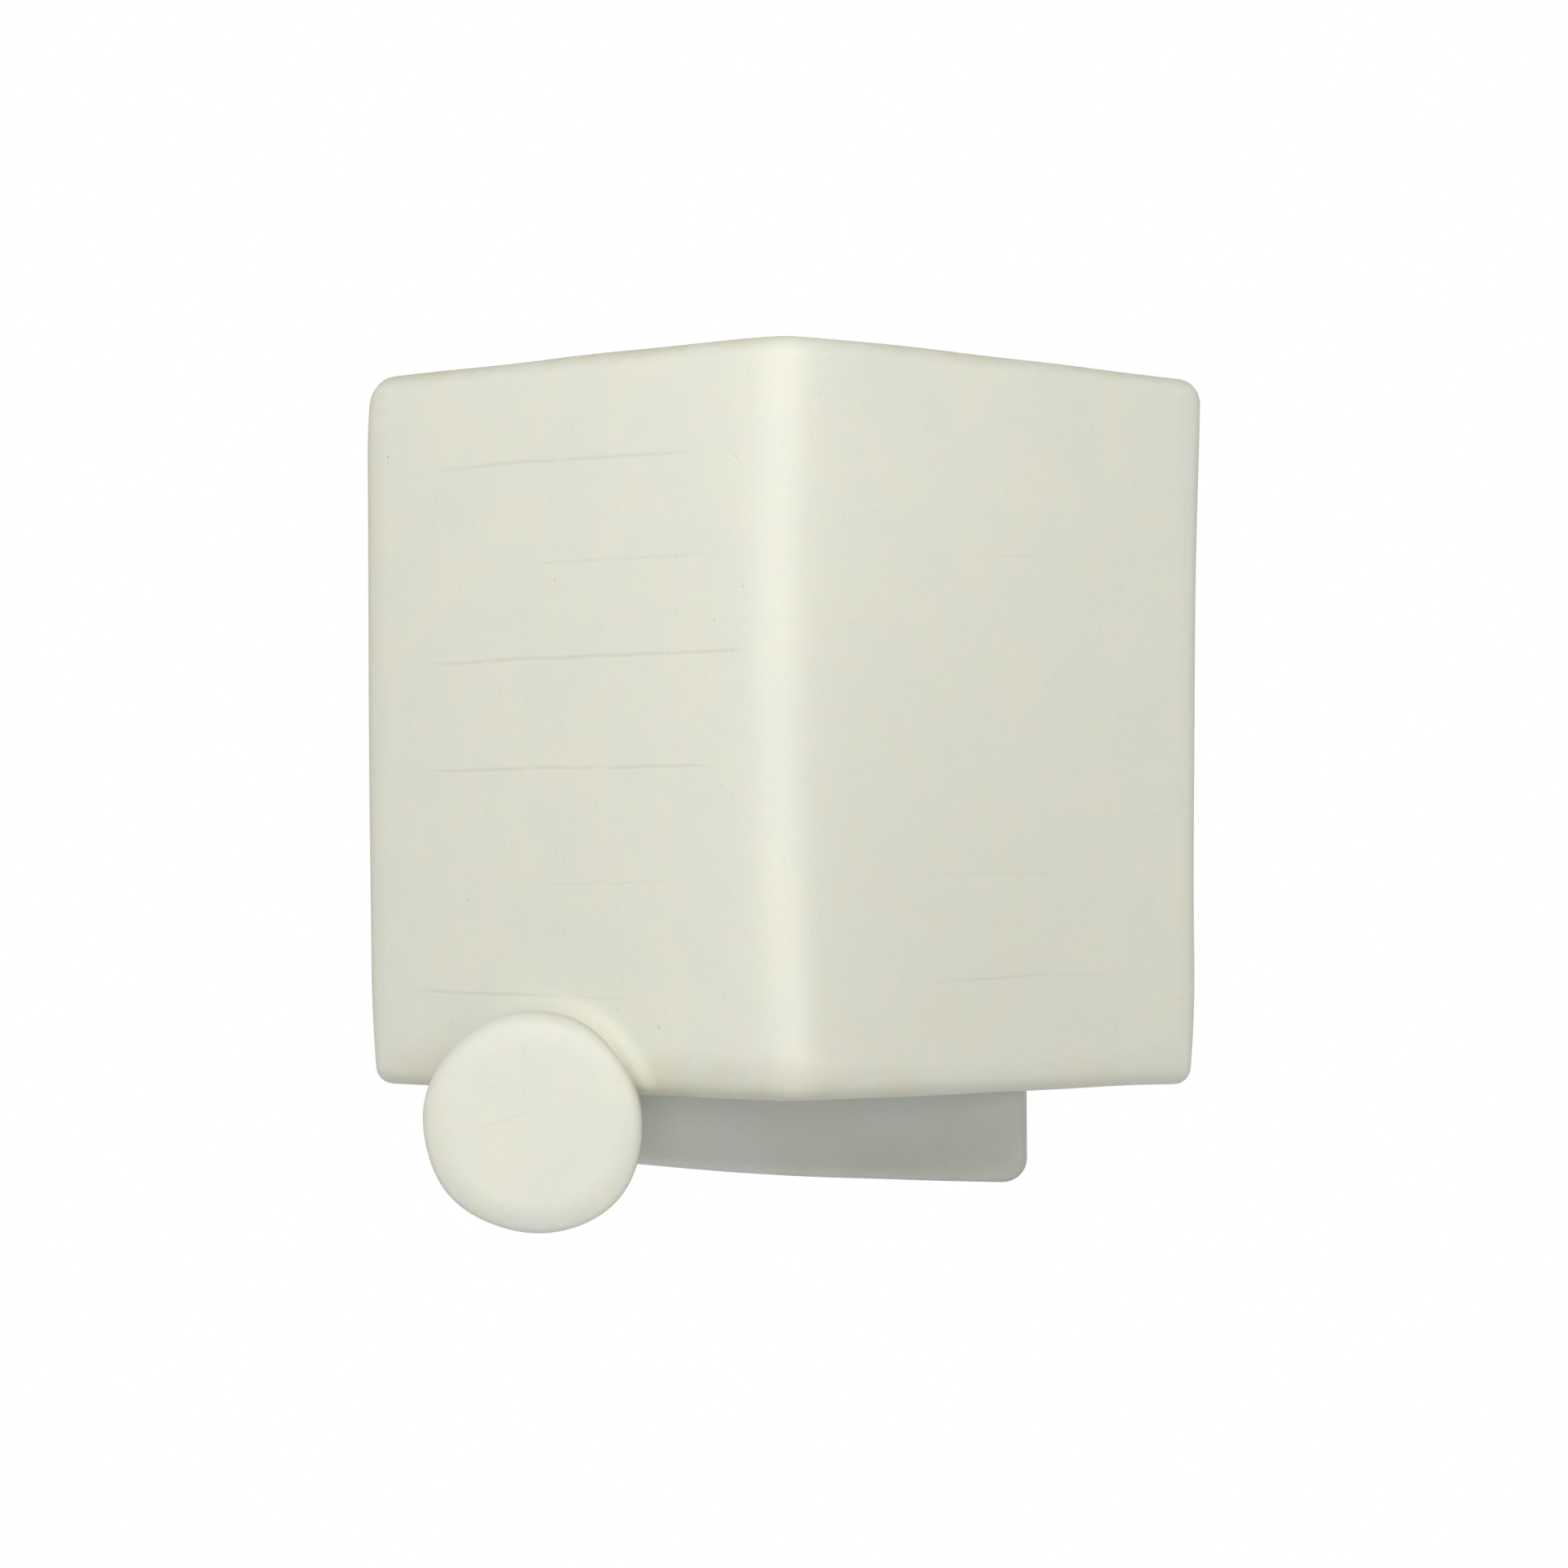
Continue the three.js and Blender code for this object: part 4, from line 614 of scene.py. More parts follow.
def make_threaded(node, material, pitch, depth, radius, bore, chamfer, columns=48, upright=False):
    """A threaded rod, or a tube where it has a bore, with chamfered ends."""
    start, end, _ = axis_of(node, upright)
    rows = [(bore, start), (radius - chamfer, start)]
    rows += along_thread(radius, start + chamfer, end - chamfer, pitch)
    rows += [(radius - chamfer, end), (bore, end)]
    thread = screw_thread(start + chamfer, end - chamfer, pitch, depth)
    spin(node, material, rows, upright=upright, closed=bore > 0, columns=columns, relief=thread)


def make_studs(material):
    pitch, depth, columns = 0.8, 0.45, 28
    for side in sides:
        node = f"stud_{side}"
        make_threaded(node, material, pitch, depth, span(node).radius, 0, pitch, columns)


turned_down_share = 0.97     # of a nut's flats, where its ends are turned down
turn_down_slope = 0.6
nut_lead_in = 0.3
nut_ease = 0.12


def hex_nut(node, flats, bore, material, upright=False):
    """A six-sided nut: its flats cut a profile whose corners are turned down to the flats' width."""
    start, end, _ = axis_of(node, upright)
    corner = flats / 2 / math.cos(math.pi / 6)
    down = flats / 2 * turned_down_share
    slope = (corner - down) * turn_down_slope
    lead_in = bore + nut_lead_in
    spin(node, material, [
        (lead_in, start), (down, start), (corner, start + slope), (corner, end - slope), (down, end),
        (lead_in, end), (bore, end - nut_lead_in), (bore, start + nut_lead_in),
    ], nut_ease, 3, upright, nut_angle, closed=True, columns=96, flats=polygon(flats / 2, 6))


def make_cap_nuts(material):
    """A nut whose front runs on into a dome: the flats cut the hexagon and leave the dome round."""
    flats, hex_height, dome, chamfer, step = 8, 4, 3.8, 0.5, 0.02
    corner = flats / 2 / math.cos(math.pi / 6)
    down = flats / 2 * turned_down_share
    for side in sides:
        nut, stud = span(f"cap_nut_{side}"), span(f"stud_{side}")
        shoulder = nut.out0 + hex_height
        height = nut.out1 - shoulder
        stud_end = stud.out1 + seat
        bore = stud.x1 - nut.x + seat
        rows = [(bore, nut.out0), (down, nut.out0), (corner, nut.out0 + chamfer),
                (corner, shoulder - chamfer), (down, shoulder), (dome + step, shoulder + step)]
        rows += [(dome * math.cos(a), shoulder + height * math.sin(a)) for a in quarter(14)[:-1]]
        rows += [(0, nut.out1), (0, stud_end), (bore, stud_end)]
        spin(f"cap_nut_{side}", material, rows, sharp_angle=nut_angle, closed=True, columns=96,
             flats=polygon(flats / 2, 6))


def make_ring(node, inner, outer, edge, material, steps=4, **form):
    start, end, _ = axis_of(node)
    spin(node, material, [(inner, start), (outer, start), (outer, end), (inner, end)], edge, steps,
         closed=True, **form)


def make_washers(material):
    bore, radius, edge = 2.8, 7, 0.3
    for side in sides:
        make_ring(f"washer_{side}", bore, radius, edge, material)


def make_earth_lug(material):
    bore, radius, edge = 2.3, 3.8, 0.2
    make_ring("earth_lug", bore, radius, edge, material)


def make_grommets(material):
    """A ring with a groove for the plate's wall: flange, neck and a soft front lip."""
    bore, neck, edge = 2.9, 4.2, 0.5
    groove = plate.out1 - plate_front_wall - seat
    for node in ("plate_grommet_lamp", "plate_grommet_dimmer"):
        start, end, _ = axis_of(node)
        flange = span(node).radius
        rows = [(bore, start), (flange, start), (flange, groove), (neck, groove), (neck, end), (bore, end)]
        spin(node, material, rows, edge, closed=True, columns=48)


slot_half_width = 0.38
slot_depth = 0.9
slot_ease = 0.15
slot_shares = {1: 1.2, 2: 0.6}     # of the head's radius: a slot runs across, a cross stays inside
head_edge = 0.3
countersunk_edge = 0.1


def screw(node, radius, head, head_height, material, head_first=False, countersunk=0.0, slots=1):
    """A screw cut from a field: shank, head with a softened rim, and one driving slot or two crossed."""
    box, step = span(node), 0.24
    direction = -1 if head_first else 1
    head_end = box.out0 if head_first else box.out1
    head_back = head_end - direction * head_height

    def field(x, out, z):
        shank = np.maximum(rod(x, z, (box.x, box.z), radius), between(out, box.out0, box.out1))
        back = (out - head_back) * -direction
        front = (out - head_end) * direction
        around = rod(x, z, (box.x, box.z), head) + countersunk * np.maximum(-front, 0)
        edge = countersunk_edge if countersunk else head_edge
        whole = np.minimum(shank, rounded(around, np.maximum(front, back), edge))
        for slot in range(slots):
            across, long = (x - box.x, z - box.z) if slot == 0 else (z - box.z, x - box.x)
            reach = head * slot_shares[slots]
            groove = np.maximum(np.abs(across) - slot_half_width, np.abs(long) - reach)
            whole = without(whole, np.maximum(groove, -front - slot_depth), slot_ease)
        return whole
    carve(node, field, step, material, screw_angle)


# Sizes of the screws: radius of the shank, radius and height of the head
earth_screw_sizes = (2, 3.6, 2.2)
block_screw_sizes = (1.4, 2.4, 1.4)
bracket_screw_sizes = (2, 3.8, 1.8)
# Sizes of the nuts: width across the flats, radius of the bore
m5_nut_sizes = (8, 2.8)
m4_nut_sizes = (7, 2.3)
m10_nut_sizes = (14, 5.3)


def make_screws(steel, brass):
    screw("earth_screw", *earth_screw_sizes, brass, slots=2)
    for side in sides:
        screw(f"block_screw_{side}", *block_screw_sizes, steel)
        screw(f"bracket_screw_{side}", *bracket_screw_sizes, steel, head_first=True, countersunk=1.0, slots=2)


def make_nuts(steel, brass):
    for side in sides:
        hex_nut(f"lock_nut_{side}", *m5_nut_sizes, steel)
        hex_nut(f"bracket_nut_{side}", *m4_nut_sizes, steel)
    hex_nut("nipple_nut", *m10_nut_sizes, brass, upright=True)
    hex_nut("dimmer_nut", *m10_nut_sizes, brass)


# Lamp holder and lamp, on one upright axis

lamp_out = span("bulb_glass").out
holder_radius = 14
holder_wall = 2.2


def make_nipple(material):
    pitch, depth, radius, bore = 1, 0.5, 5, 3.7
    make_threaded("nipple", material, pitch, depth, radius, bore, pitch / 2, upright=True)


def make_holder_cap(material):
    """A cone and a fluted cylinder, open above."""
    bore, foot, cone_height, ease, row_step = 5.3, 10, 11, 1.1, 0.5
    flute_depth, flute_count, flute_step = 0.35, 20, 0.2
    flute_foot, flute_head, flute_fade = 1, 3, 2
    radius, wall, cap = holder_radius, holder_wall, span("holder_cap")
    shoulder = cap.z0 + cone_height
    rows = eased([
        (bore, cap.z0), (foot - wall / 2, cap.z0), (foot, cap.z0 + wall / 2), (radius, shoulder),
        (radius, cap.z1), (radius - wall, cap.z1), (radius - wall, shoulder + wall), (bore, shoulder + wall),
    ], ease, closed=True, steps=6)
    rows = np.vstack([rows, rows[:1]])
    rows = even(np.column_stack([rows, np.zeros(len(rows))]), row_step)[:-1, :2]

    def held(along):
        inside = np.minimum(along - shoulder - flute_foot, cap.z1 - flute_head - along)
        return np.clip(inside / flute_fade, 0, 1)
    relief = flutes(flute_depth, flute_count, radius - flute_step, held=held, wave=np.cos)
    spin("holder_cap", material, rows, upright=True, closed=True, columns=320, relief=relief)


def make_holder_base(material):
    ease = 0.8
    base = span("holder_base")
    rows = [(0, base.z0), (base.radius, base.z0), (base.radius, base.z1), (0, base.z1)]
    spin("holder_base", material, rows, ease, upright=True)


def make_holder_skirt(material):
    """A sleeve that fits into the cap, with a fluted ring to turn it by."""
    bore, slope, ring_height, ease = 8.2, 1.1, 5, 0.6
    flute_depth, flute_count, flute_step = 0.4, 24, 0.3
    radius, skirt = holder_radius, span("holder_skirt")
    ring = skirt.radius
    joint = span("holder_cap").z1 + seat
    spigot = radius - holder_wall - seat
    ring_low = (joint + skirt.z1 - ring_height) / 2
    ring_high = ring_low + ring_height
    spin("holder_skirt", material, [
        (bore, skirt.z0), (spigot, skirt.z0), (spigot, joint), (radius, joint), (radius, ring_low),
        (ring, ring_low + slope), (ring, ring_high - slope), (radius, ring_high),
        (radius, skirt.z1 - slope), (radius - slope, skirt.z1), (bore, skirt.z1),
    ], ease, upright=True, closed=True, columns=384,
        relief=flutes(flute_depth, flute_count, ring - flute_step))


def make_bulb_contact(material):
    tip, radius, rise, ease = 1.2, 2.4, 1.1, 0.5
    start, end, _ = axis_of("bulb_contact", upright=True)
    rows = [(0, start), (tip, start), (radius, start + rise), (radius, end), (0, end)]
    spin("bulb_contact", material, rows, ease, upright=True, columns=48)


def make_bulb_shell(material):
    """The screw shell: a cone at its foot, a thread and a flare round the glass."""
    pitch, turns, depth, radius, play, root, lip = 2.8, 6, 0.55, 6.8, 0.05, 0.3, 0.6
    cone = [(0, 0), (2.9, 0), (5.6, 0.9), (6.3, 1.6)]
    cone_height, neck_height = 2, 0.4
    shell = span("bulb_shell")
    flare = shell.radius
    thread_start, thread_end = shell.z0 + cone_height, shell.z0 + turns * pitch
    rows = [(reach, shell.z0 + rise) for reach, rise in cone]
    rows += along_thread(radius - play, thread_start, thread_end, pitch, 12)
    rows += [(radius - root, thread_end + neck_height), (flare, shell.z1 - lip), (flare, shell.z1)]
    thread = screw_thread(thread_start, thread_end, pitch, depth)
    spin("bulb_shell", material, rows + [(0, shell.z1)], upright=True, columns=72, relief=thread)


def make_bulb_glass(material):
    """A hollow bulb: neck, shoulder, cylinder and round end."""
    radius, neck, wall, neck_height, shoulder_height, ease = 12.5, 7.2, 0.9, 7, 17, 4.5
    bulb = span("bulb_glass")
    neck_end, shoulder, round_end = bulb.z0 + neck_height, bulb.z0 + shoulder_height, bulb.z1 - radius

    def skin_of(reach, throat):
        side = eased([(throat, bulb.z0), (throat, neck_end), (reach, shoulder), (reach, round_end)],
                     ease, steps=10)
        dome = [(reach * math.cos(a), round_end + reach * math.sin(a)) for a in quarter(20)[1:-1]]
        return np.vstack([side, dome, [(0, round_end + reach)]])
    rows = np.vstack([skin_of(radius, neck), skin_of(radius - wall, neck - wall)[::-1]])
    spin("bulb_glass", material, rows, upright=True, closed=True, columns=96)


def make_bulb_stem(material):
    flare, slim, spread, foot, head, ease = 5.2, 2.6, 4.2, 1.3, 0.4, 0.9
    start, end, _ = axis_of("bulb_stem", upright=True)
    spin("bulb_stem", material, [
        (0, start), (flare, start), (flare, start + foot), (slim, start + flare), (slim, end - slim),
        (spread, end - head), (spread, end), (0, end),
    ], ease, 6, upright=True, columns=48)


def make_bulb_filament(material):
    """A hoop that gives the light: two straight legs and a half circle."""
    thickness, step = 0.9, 0.8
    hoop = span("bulb_filament")
    spread = hoop.radius - thickness
    crown = hoop.z1 - thickness - spread
    arc = np.linspace(math.pi, 0, 24)
    across = [-spread, *(spread * np.cos(arc)), spread]
    up = [hoop.z0, *(crown + spread * np.sin(arc)), hoop.z0]
    path = np.column_stack([across, np.full(len(up), lamp_out), up])
    dress("bulb_filament", *swept(even(path, step), thickness), material)


# Dimmer and the pieces that turn

def make_dimmer_body(material):
    """A drum with a shallow band round its middle and a socket for the spindle."""
    edge, band_depth, band_slope, band_margin, socket_depth, ease = 0.9, 0.5, 0.4, 4, 6, 0.3
    start, end, radius = dimmer.out0, dimmer.out1, dimmer.radius
    waist, socket = radius - band_depth, spindle_radius + seat
    low, high = start + band_margin, end - band_margin
    spin("dimmer_body", material, [
        (0, start), (radius - edge, start), (radius, start + edge), (radius, low), (waist, low + band_slope),
        (waist, high - band_slope), (radius, high), (radius, end - edge), (radius - edge, end),
        (socket, end), (socket, end - socket_depth), (0, end - socket_depth),
    ], ease, 4, columns=96)


def make_dimmer_bushing(material):
    pitch, depth = 0.75, 0.4
    make_threaded("dimmer_bushing", material, pitch, depth, bushing.radius, spindle_radius + seat, depth)


def make_dimmer_washer(material):
    """A washer with teeth round its edge."""
    bore, radius, edge, tooth_depth, tooth_count, tooth_step = 5.3, 8, 0.2, 0.7, 16, 0.5

    def teeth(angle, along, reach):
        return tooth_depth * np.maximum(np.sin(tooth_count * angle), 0) ** 0.5 * (reach > radius - tooth_step)
    make_ring("dimmer_washer", bore, radius, edge, material, 3, columns=256, relief=teeth)


def d_section(distance, start, least=0.1, most=math.inf):
    """One flat on the upper side, past a place along the axis, for radii in a range."""
    def reach(angle, along, radius):
        upward = np.maximum(np.sin(angle), 1e-3)
        flat = np.where(np.sin(angle) > 0, distance / upward, np.inf)
        return np.where((along >= start) & (radius >= least) & (radius <= most), flat, np.inf)
    return reach


def make_dimmer_spindle(material):
    foot, edge, step = 0.3, 0.4, 0.05
    start, end, _ = axis_of("dimmer_spindle")
    radius, flat_start = spindle_radius, bushing.out1
    rows = [(0, start), (radius - foot, start), (radius, start + foot), (radius, flat_start - step),
            (radius, flat_start), (radius, end - edge), (radius - edge, end), (0, end)]
    flat = d_section(spindle_radius - spindle_flat, flat_start)
    spin("dimmer_spindle", material, rows, sharp_angle=crisp_angle, columns=72, flats=flat)


def make_knob_hub(material):
    """A flanged sleeve with a D-shaped bore and a knurl that the knob's clay grips."""
    edge, knurl_depth, knurl_count, knurl_step, knurl_margin, step = 0.2, 0.15, 30, 0.1, 0.3, 0.01
    start, end, _ = axis_of("knob_hub")
    bore = spindle_radius + seat
    flange_end = start + hub_flange_thickness
    rows = [(bore, start), (hub_flange, start), (hub_flange, flange_end), (hub_radius, flange_end),
            (hub_radius, end), (bore, end)]
    flat = d_section(spindle_radius - spindle_flat + seat, start, most=bore + step)

    def held(along):
        return (along > flange_end + knurl_margin) & (along < end - knurl_margin)
    knurl = flutes(knurl_depth, knurl_count, hub_radius - knurl_step, hub_radius + knurl_step, held)
    spin("knob_hub", material, rows, edge, 3, sharp_angle=crisp_angle, closed=True, columns=240, flats=flat,
         relief=knurl)


# Leads

def make_leads(insulation):
    """Each lead follows straight stretches between corners, and a quadratic curve round each corner."""
    bend, radius, way_pitch, way_depth, clearance, step = 5, 1.1, 8, 4, 0.4, 0.7
    block, lug = span("terminal_block"), span("earth_lug")
    spacing = 2 * radius + clearance
    back = (block.out0 + block.out1) / 2
    mouth = block.z0 + way_depth - seat
    below, near = block.z0 - bend, block.z0 - 2 * radius
    way = [(i - 1.5) * way_pitch for i in range(4)]
    lamp_z, lamp_end = lamp_grommet.z, span("nipple").z1 - seat
    dimmer_x, dimmer_z, dimmer_end = dimmer_grommet.x, dimmer_grommet.z, dimmer.out0 - seat
    beside = block.x1 + 2 * radius + bend
    lug_z = lug.z0 - seat - radius
    routes = {}
    for name, start, side in (("lamp_lead_live", way[1] + spacing / 2, -1), ("lamp_lead_neutral", way[2], 1)):
        x = side * spacing / 2
        routes[name] = [(start, back, mouth), (start, back, below), (x, back, lamp_z),
                        (x, lamp_out, lamp_z), (x, lamp_out, lamp_end)]
    for name, start, side in (("dimmer_lead_in", way[0], 1), ("dimmer_lead_out", way[1] - spacing / 2, -1)):
        z = dimmer_z + side * spacing / 2
        routes[name] = [(start, back, mouth), (start, back, near), (dimmer_x, back, z),
                        (dimmer_x, dimmer_end, z)]
    routes["earth_lead"] = [(way[3], back, mouth), (way[3], back, below - bend), (beside, back, below - bend),
                            (beside, back, lug_z - bend), (lug.x, lug.out0 + radius, lug_z)]
    for name, corners in routes.items():
        path = even(eased(corners, bend, steps=14), step)
        dress(name, *swept(path, radius), insulation[slot_of[name]])


# Materials

def operator(operation, swapped=False, **settings):
    """A method of Value that adds one Math node, with its two inputs swapped or not."""
    def method(self, other=0):
        inputs = {0: other, 1: self} if swapped else {0: self, 1: other}
        return self.nodes.add("ShaderNodeMath", {"operation": operation, **settings}, inputs)
    return method


class Value:
    """One output of a node. Sums, products and powers of it add Math nodes."""

    __add__, __radd__ = operator("ADD"), operator("ADD", True)
    __sub__, __rsub__ = operator("SUBTRACT"), operator("SUBTRACT", True)
    __mul__, __truediv__ = operator("MULTIPLY"), operator("DIVIDE")
    __pow__, __abs__ = operator("POWER"), operator("ABSOLUTE")
    larger, clamped = operator("MAXIMUM"), operator("ADD", use_clamp=True)

    def __init__(self, nodes, socket):
        self.nodes = nodes
        self.socket = socket

    def rise(self, start, end):
        """From 0 at start to 1 at end, smoothly."""
        return self.nodes.add("ShaderNodeMapRange", {"interpolation_type": "SMOOTHSTEP"},
                              {"Value": self, "From Min": start, "From Max": end})


class Nodes:
    """The nodes of a material or a world."""

    def __init__(self, owner, output):
        owner.use_nodes = True
        self.tree = owner.node_tree
        self.tree.nodes.clear()
        self.output = self.tree.nodes.new(output)

    def show(self, surface):
        self.set(self.output, "Surface", surface)

    def set(self, node, key, value):
        socket = node.inputs[key]
        if isinstance(value, Value):
            self.tree.links.new(value.socket, socket)
        elif socket.type == "RGBA" and len(value) == 3:
            socket.default_value = (*value, 1)
        else:
            socket.default_value = value

    def add(self, kind, settings, inputs, output=0):
        """A node with its settings, and the values or links of its inputs."""
        node = self.tree.nodes.new(kind)
        for key, value in settings.items():
            setattr(node, key, value)
        for key, value in inputs.items():
            self.set(node, key, value)
        return Value(self, node.outputs[output])

    def seen(self):
        """1 for rays from the camera, a mirror or glass, 0 for the rays that light things."""
        path = self.tree.nodes.new("ShaderNodeLightPath")
        camera, glossy, through = [
            Value(self, path.outputs[f"Is {ray} Ray"]) for ray in ("Camera", "Glossy", "Transmission")
        ]
        return camera.larger(glossy).larger(through)


class Recipe(Nodes):
    """The nodes of one material: a Principled shader, and what feeds it. Patterns are in millimetres."""

    def __init__(self, name, **constants):
        self.material = bpy.data.materials.new(name)
        super().__init__(self.material, "ShaderNodeOutputMaterial")
        self.shader = self.tree.nodes.new("ShaderNodeBsdfPrincipled")
        self.surface = Value(self, self.shader.outputs[0])
        self.show(self.surface)
        self.feed(**constants)
        coordinates = self.add("ShaderNodeTexCoord", {}, {}, "Object")
        self.place = self.add("ShaderNodeVectorMath", {"operation": "SCALE"},
                              {0: coordinates, "Scale": 1 / millimetre})
        parts = self.tree.nodes.new("ShaderNodeSeparateXYZ")
        self.tree.links.new(self.place.socket, parts.inputs[0])
        self.x, y, self.z = [Value(self, socket) for socket in parts.outputs]
        self.out = y * -1

    def feed(self, **sockets):
        for socket, value in sockets.items():
            self.set(self.shader, socket.replace("_", " "), value)

    def stretched(self, x, y, z):
        """The place, squeezed along each axis."""
        return self.add("ShaderNodeVectorMath", {"operation": "MULTIPLY"}, {0: self.place, 1: (x, y, z)})

    def noise(self, size, detail=3, place=None):
        """Cloudy pattern from 0 to 1, with clouds of about this size in millimetres."""
        return self.add("ShaderNodeTexNoise", {}, {
            "Vector": place or self.place, "Scale": 1 / size, "Detail": detail, "Roughness": 0.55,
        }, "Fac")

    def dots(self, spacing):
        """Distance to the nearest of scattered points, in shares of their spacing."""
        inputs = {"Vector": self.place, "Scale": 1 / spacing}
        return self.add("ShaderNodeTexVoronoi", {}, inputs, "Distance")

    def mix(self, share, one, other):
        """Colour from one to the other."""
        return self.add("ShaderNodeMix", {"data_type": "RGBA"}, {0: share, 6: one, 7: other}, 2)

    def raised(self, height):
        """Normal of a surface that is raised by a height in millimetres."""
        return self.add("ShaderNodeBump", {}, {"Height": height, "Distance": millimetre, "Strength": 1})


def srgb(red, green, blue):
    """Linear colour of 0..255 screen values."""
    def linear(level):
        share = level / 255
        return share / 12.92 if share <= 0.04045 else ((share + 0.055) / 1.055) ** 2.4
    return tuple(linear(level) for level in (red, green, blue))


def tinted(colour, red, green=None, blue=None):
    """A colour with its channels multiplied, all by the first share where no other is given."""
    shares = (red, red, red) if green is None else (red, green, blue)
    return tuple(level * share for level, share in zip(colour, shares))


def crease(recipe, start, end, half_width, strength):
    """A shallow line left by the smoothing tool: (painted shade in its groove, height), both at most its
    strength. Its middle wanders about the straight line from start to end, it fades at both ends and it
    breaks off now and then."""
    (x0, z0), (x1, z1) = start, end
    slope = (z1 - z0) / (x1 - x0)
    bends = recipe.noise(crease_bend_size, 2, recipe.stretched(1, 0, 0.2))
    off = recipe.z - ((recipe.x - x0) * slope + z0) - (bends - 0.5) * crease_wander
    window = recipe.x.rise(x0, x0 + crease_fade) * (1 - recipe.x.rise(x1 - crease_fade, x1))
    whole = recipe.noise(crease_gap_size, 3, recipe.stretched(1, 0, 0.35)).rise(*crease_gap_levels)
    groove = (1 - abs(off) / half_width).larger(0) * window * whole * strength
    lip = (1 - abs(off + crease_lip_shift * half_width) / half_width).larger(0) * window * whole * strength
    return groove, lip * crease_lip_share - groove


def nick(recipe, place, radius, strength):
    """A small round pit: how much painted shade darkens it."""
    away = ((recipe.x - place[0]) ** 2 + (recipe.z - place[1]) ** 2) ** 0.5
    return (1 - away / radius).larger(0) * strength


def fired_clay(name, colour, creases=(), nicks=(), outside=None, rims=None):
    """Unglazed off-white clay: warm and cool clouds, fine grain, faint level strokes of the smoothing tool,
    scattered pinholes, and the creases and nicks given. Painted shade darkens the pinholes, creases and
    nicks, and the rims that the rims function gives."""
    recipe = Recipe(name, Specular_IOR_Level=0.3)
    warm, cool = tinted(colour, 1.012, 1.0, 0.975), tinted(colour, 0.975, 0.985, 1.0)
    pink, dark = tinted(colour, 1.01, 0.98, 0.985), tinted(colour, 0.6, 0.58, 0.52)
    clouds = recipe.noise(cloud_size).rise(*cloud_levels)
    blush = recipe.noise(blush_size).rise(*blush_levels) * blush_tone
    grain = recipe.noise(grain_size, 2)
    specks = recipe.noise(speck_size).rise(*speck_levels)
    strokes = recipe.noise(stroke_size, 3, recipe.stretched(0.05, 0.05, 1))
    holes = (1 - recipe.dots(pinhole_spacing) / pinhole_share).larger(0)
    pits = holes * recipe.noise(pinhole_cluster, 1).rise(*cluster_levels)
    # Painted shade in the pinholes, and below in the creases and nicks
    marks = pits * pinhole_tone
    height = (grain - 0.5) * grain_depth + (strokes - 0.5) * stroke_depth
    height = height + recipe.noise(lump_size) * lump_depth - pits * pinhole_depth
    facing = outside(recipe) if outside else 1
    for line in creases:
        recess_shade, relief = crease(recipe, *line)
        marks = marks.larger(recess_shade * facing)
        height = height + relief * facing * crease_depth
    for pit in nicks:
        recess_shade = nick(recipe, *pit) * facing
        marks = marks.larger(recess_shade)
        height = height - recess_shade * nick_depth
    body = recipe.mix(blush, recipe.mix(clouds, cool, warm), pink)
    body = recipe.mix(specks * speck_tone + (grain - 0.5).larger(0) * grain_tone, body, dark)
    # Painted shade near the rims, mottled by the clouds
    if rims:
        body = recipe.mix(rims(recipe) * (rim_least + clouds * rim_clouds), body, dark)
    recipe.feed(
        Base_Color=recipe.mix((marks * mark_tone).clamped(), body, dark),
        Roughness=clay_roughness + grain * grain_roughness, Normal=recipe.raised(height),
    )
    return recipe.material


def metal(name, colour, roughness):
    """Bare metal: cloudy roughness, fine scratches and a little dulling."""
    cloud, scratch, scratch_depth, wear, dulling = 2.5, 0.35, 0.004, 0.1, 0.72
    recipe = Recipe(name, Metallic=1.0)
    clouds = recipe.noise(cloud)
    scratches = recipe.noise(scratch, 2, recipe.stretched(1, 1, 0.12))
    recipe.feed(
        Base_Color=recipe.mix(clouds.rise(0.35, 0.75) * 0.6, colour, tinted(colour, dulling)),
        Roughness=roughness - wear / 2 + clouds * wear + scratches * wear,
        Normal=recipe.raised(scratches * scratch_depth),
    )
    return recipe.material


def moulded(name, colour, roughness, grain=0.01, **constants):
    """Moulded plastic, rubber, fibre or glaze: fine grain and slightly uneven gloss."""
    cloud, grain_width, unevenness, darkening = 4, 0.3, 0.1, 0.8
    recipe = Recipe(name, **constants)
    clouds = recipe.noise(cloud)
    recipe.feed(
        Base_Color=recipe.mix(clouds.rise(0.4, 0.8) * 0.5, colour, tinted(colour, darkening)),
        Roughness=roughness - unevenness / 2 + clouds * unevenness,
        Normal=recipe.raised(recipe.noise(grain_width, 2) * grain),
    )
    return recipe.material


def clear_glass(name):
    haze_size, clear, haze = 9, 0.015, 0.03
    recipe = Recipe(name, Base_Color=(0.96, 0.97, 0.96), Transmission_Weight=1.0, IOR=1.46)
    recipe.feed(Roughness=clear + recipe.noise(haze_size, 2).rise(0.5, 0.8) * haze)
    return recipe.material


def on_outer_face(recipe):
    """1 on the outer faces of the wings, 0 inside the fold."""
    return (recipe.out + abs(recipe.x) * wing_slope).rise(middle_apex, middle_apex + face_fade)


def on_knob_face(recipe):
    return recipe.out.rise(knob.out1 - 2 * face_fade, knob.out1 - face_fade)


def shade_rim_painted_shade(recipe):
    """How much painted shade darkens the shade near its top, foot and side edges, the foot most below the
    fold, and in a faint band down the right wing beside the fold."""
    top = shade_lift + half_height
    foot = shade_lift - half_height
    above = recipe.z.rise(top - top_rim, top) * top_rim_tone
    weight = fold_gain - abs(recipe.x - foot_middle) / half_width
    below = (1 - recipe.z.rise(foot + foot_flat, foot + foot_rim)) * weight * foot_rim_tone
    beside = abs(recipe.x).rise(half_width - side_rim, half_width) * side_rim_tone
    band = recipe.x.rise(0, band_start) * (1 - recipe.x.rise(band_middle, band_end))
    band = band * (1 - recipe.z.rise(band_low, band_high)) * band_tone
    return above.larger(below).larger(beside).larger(band)


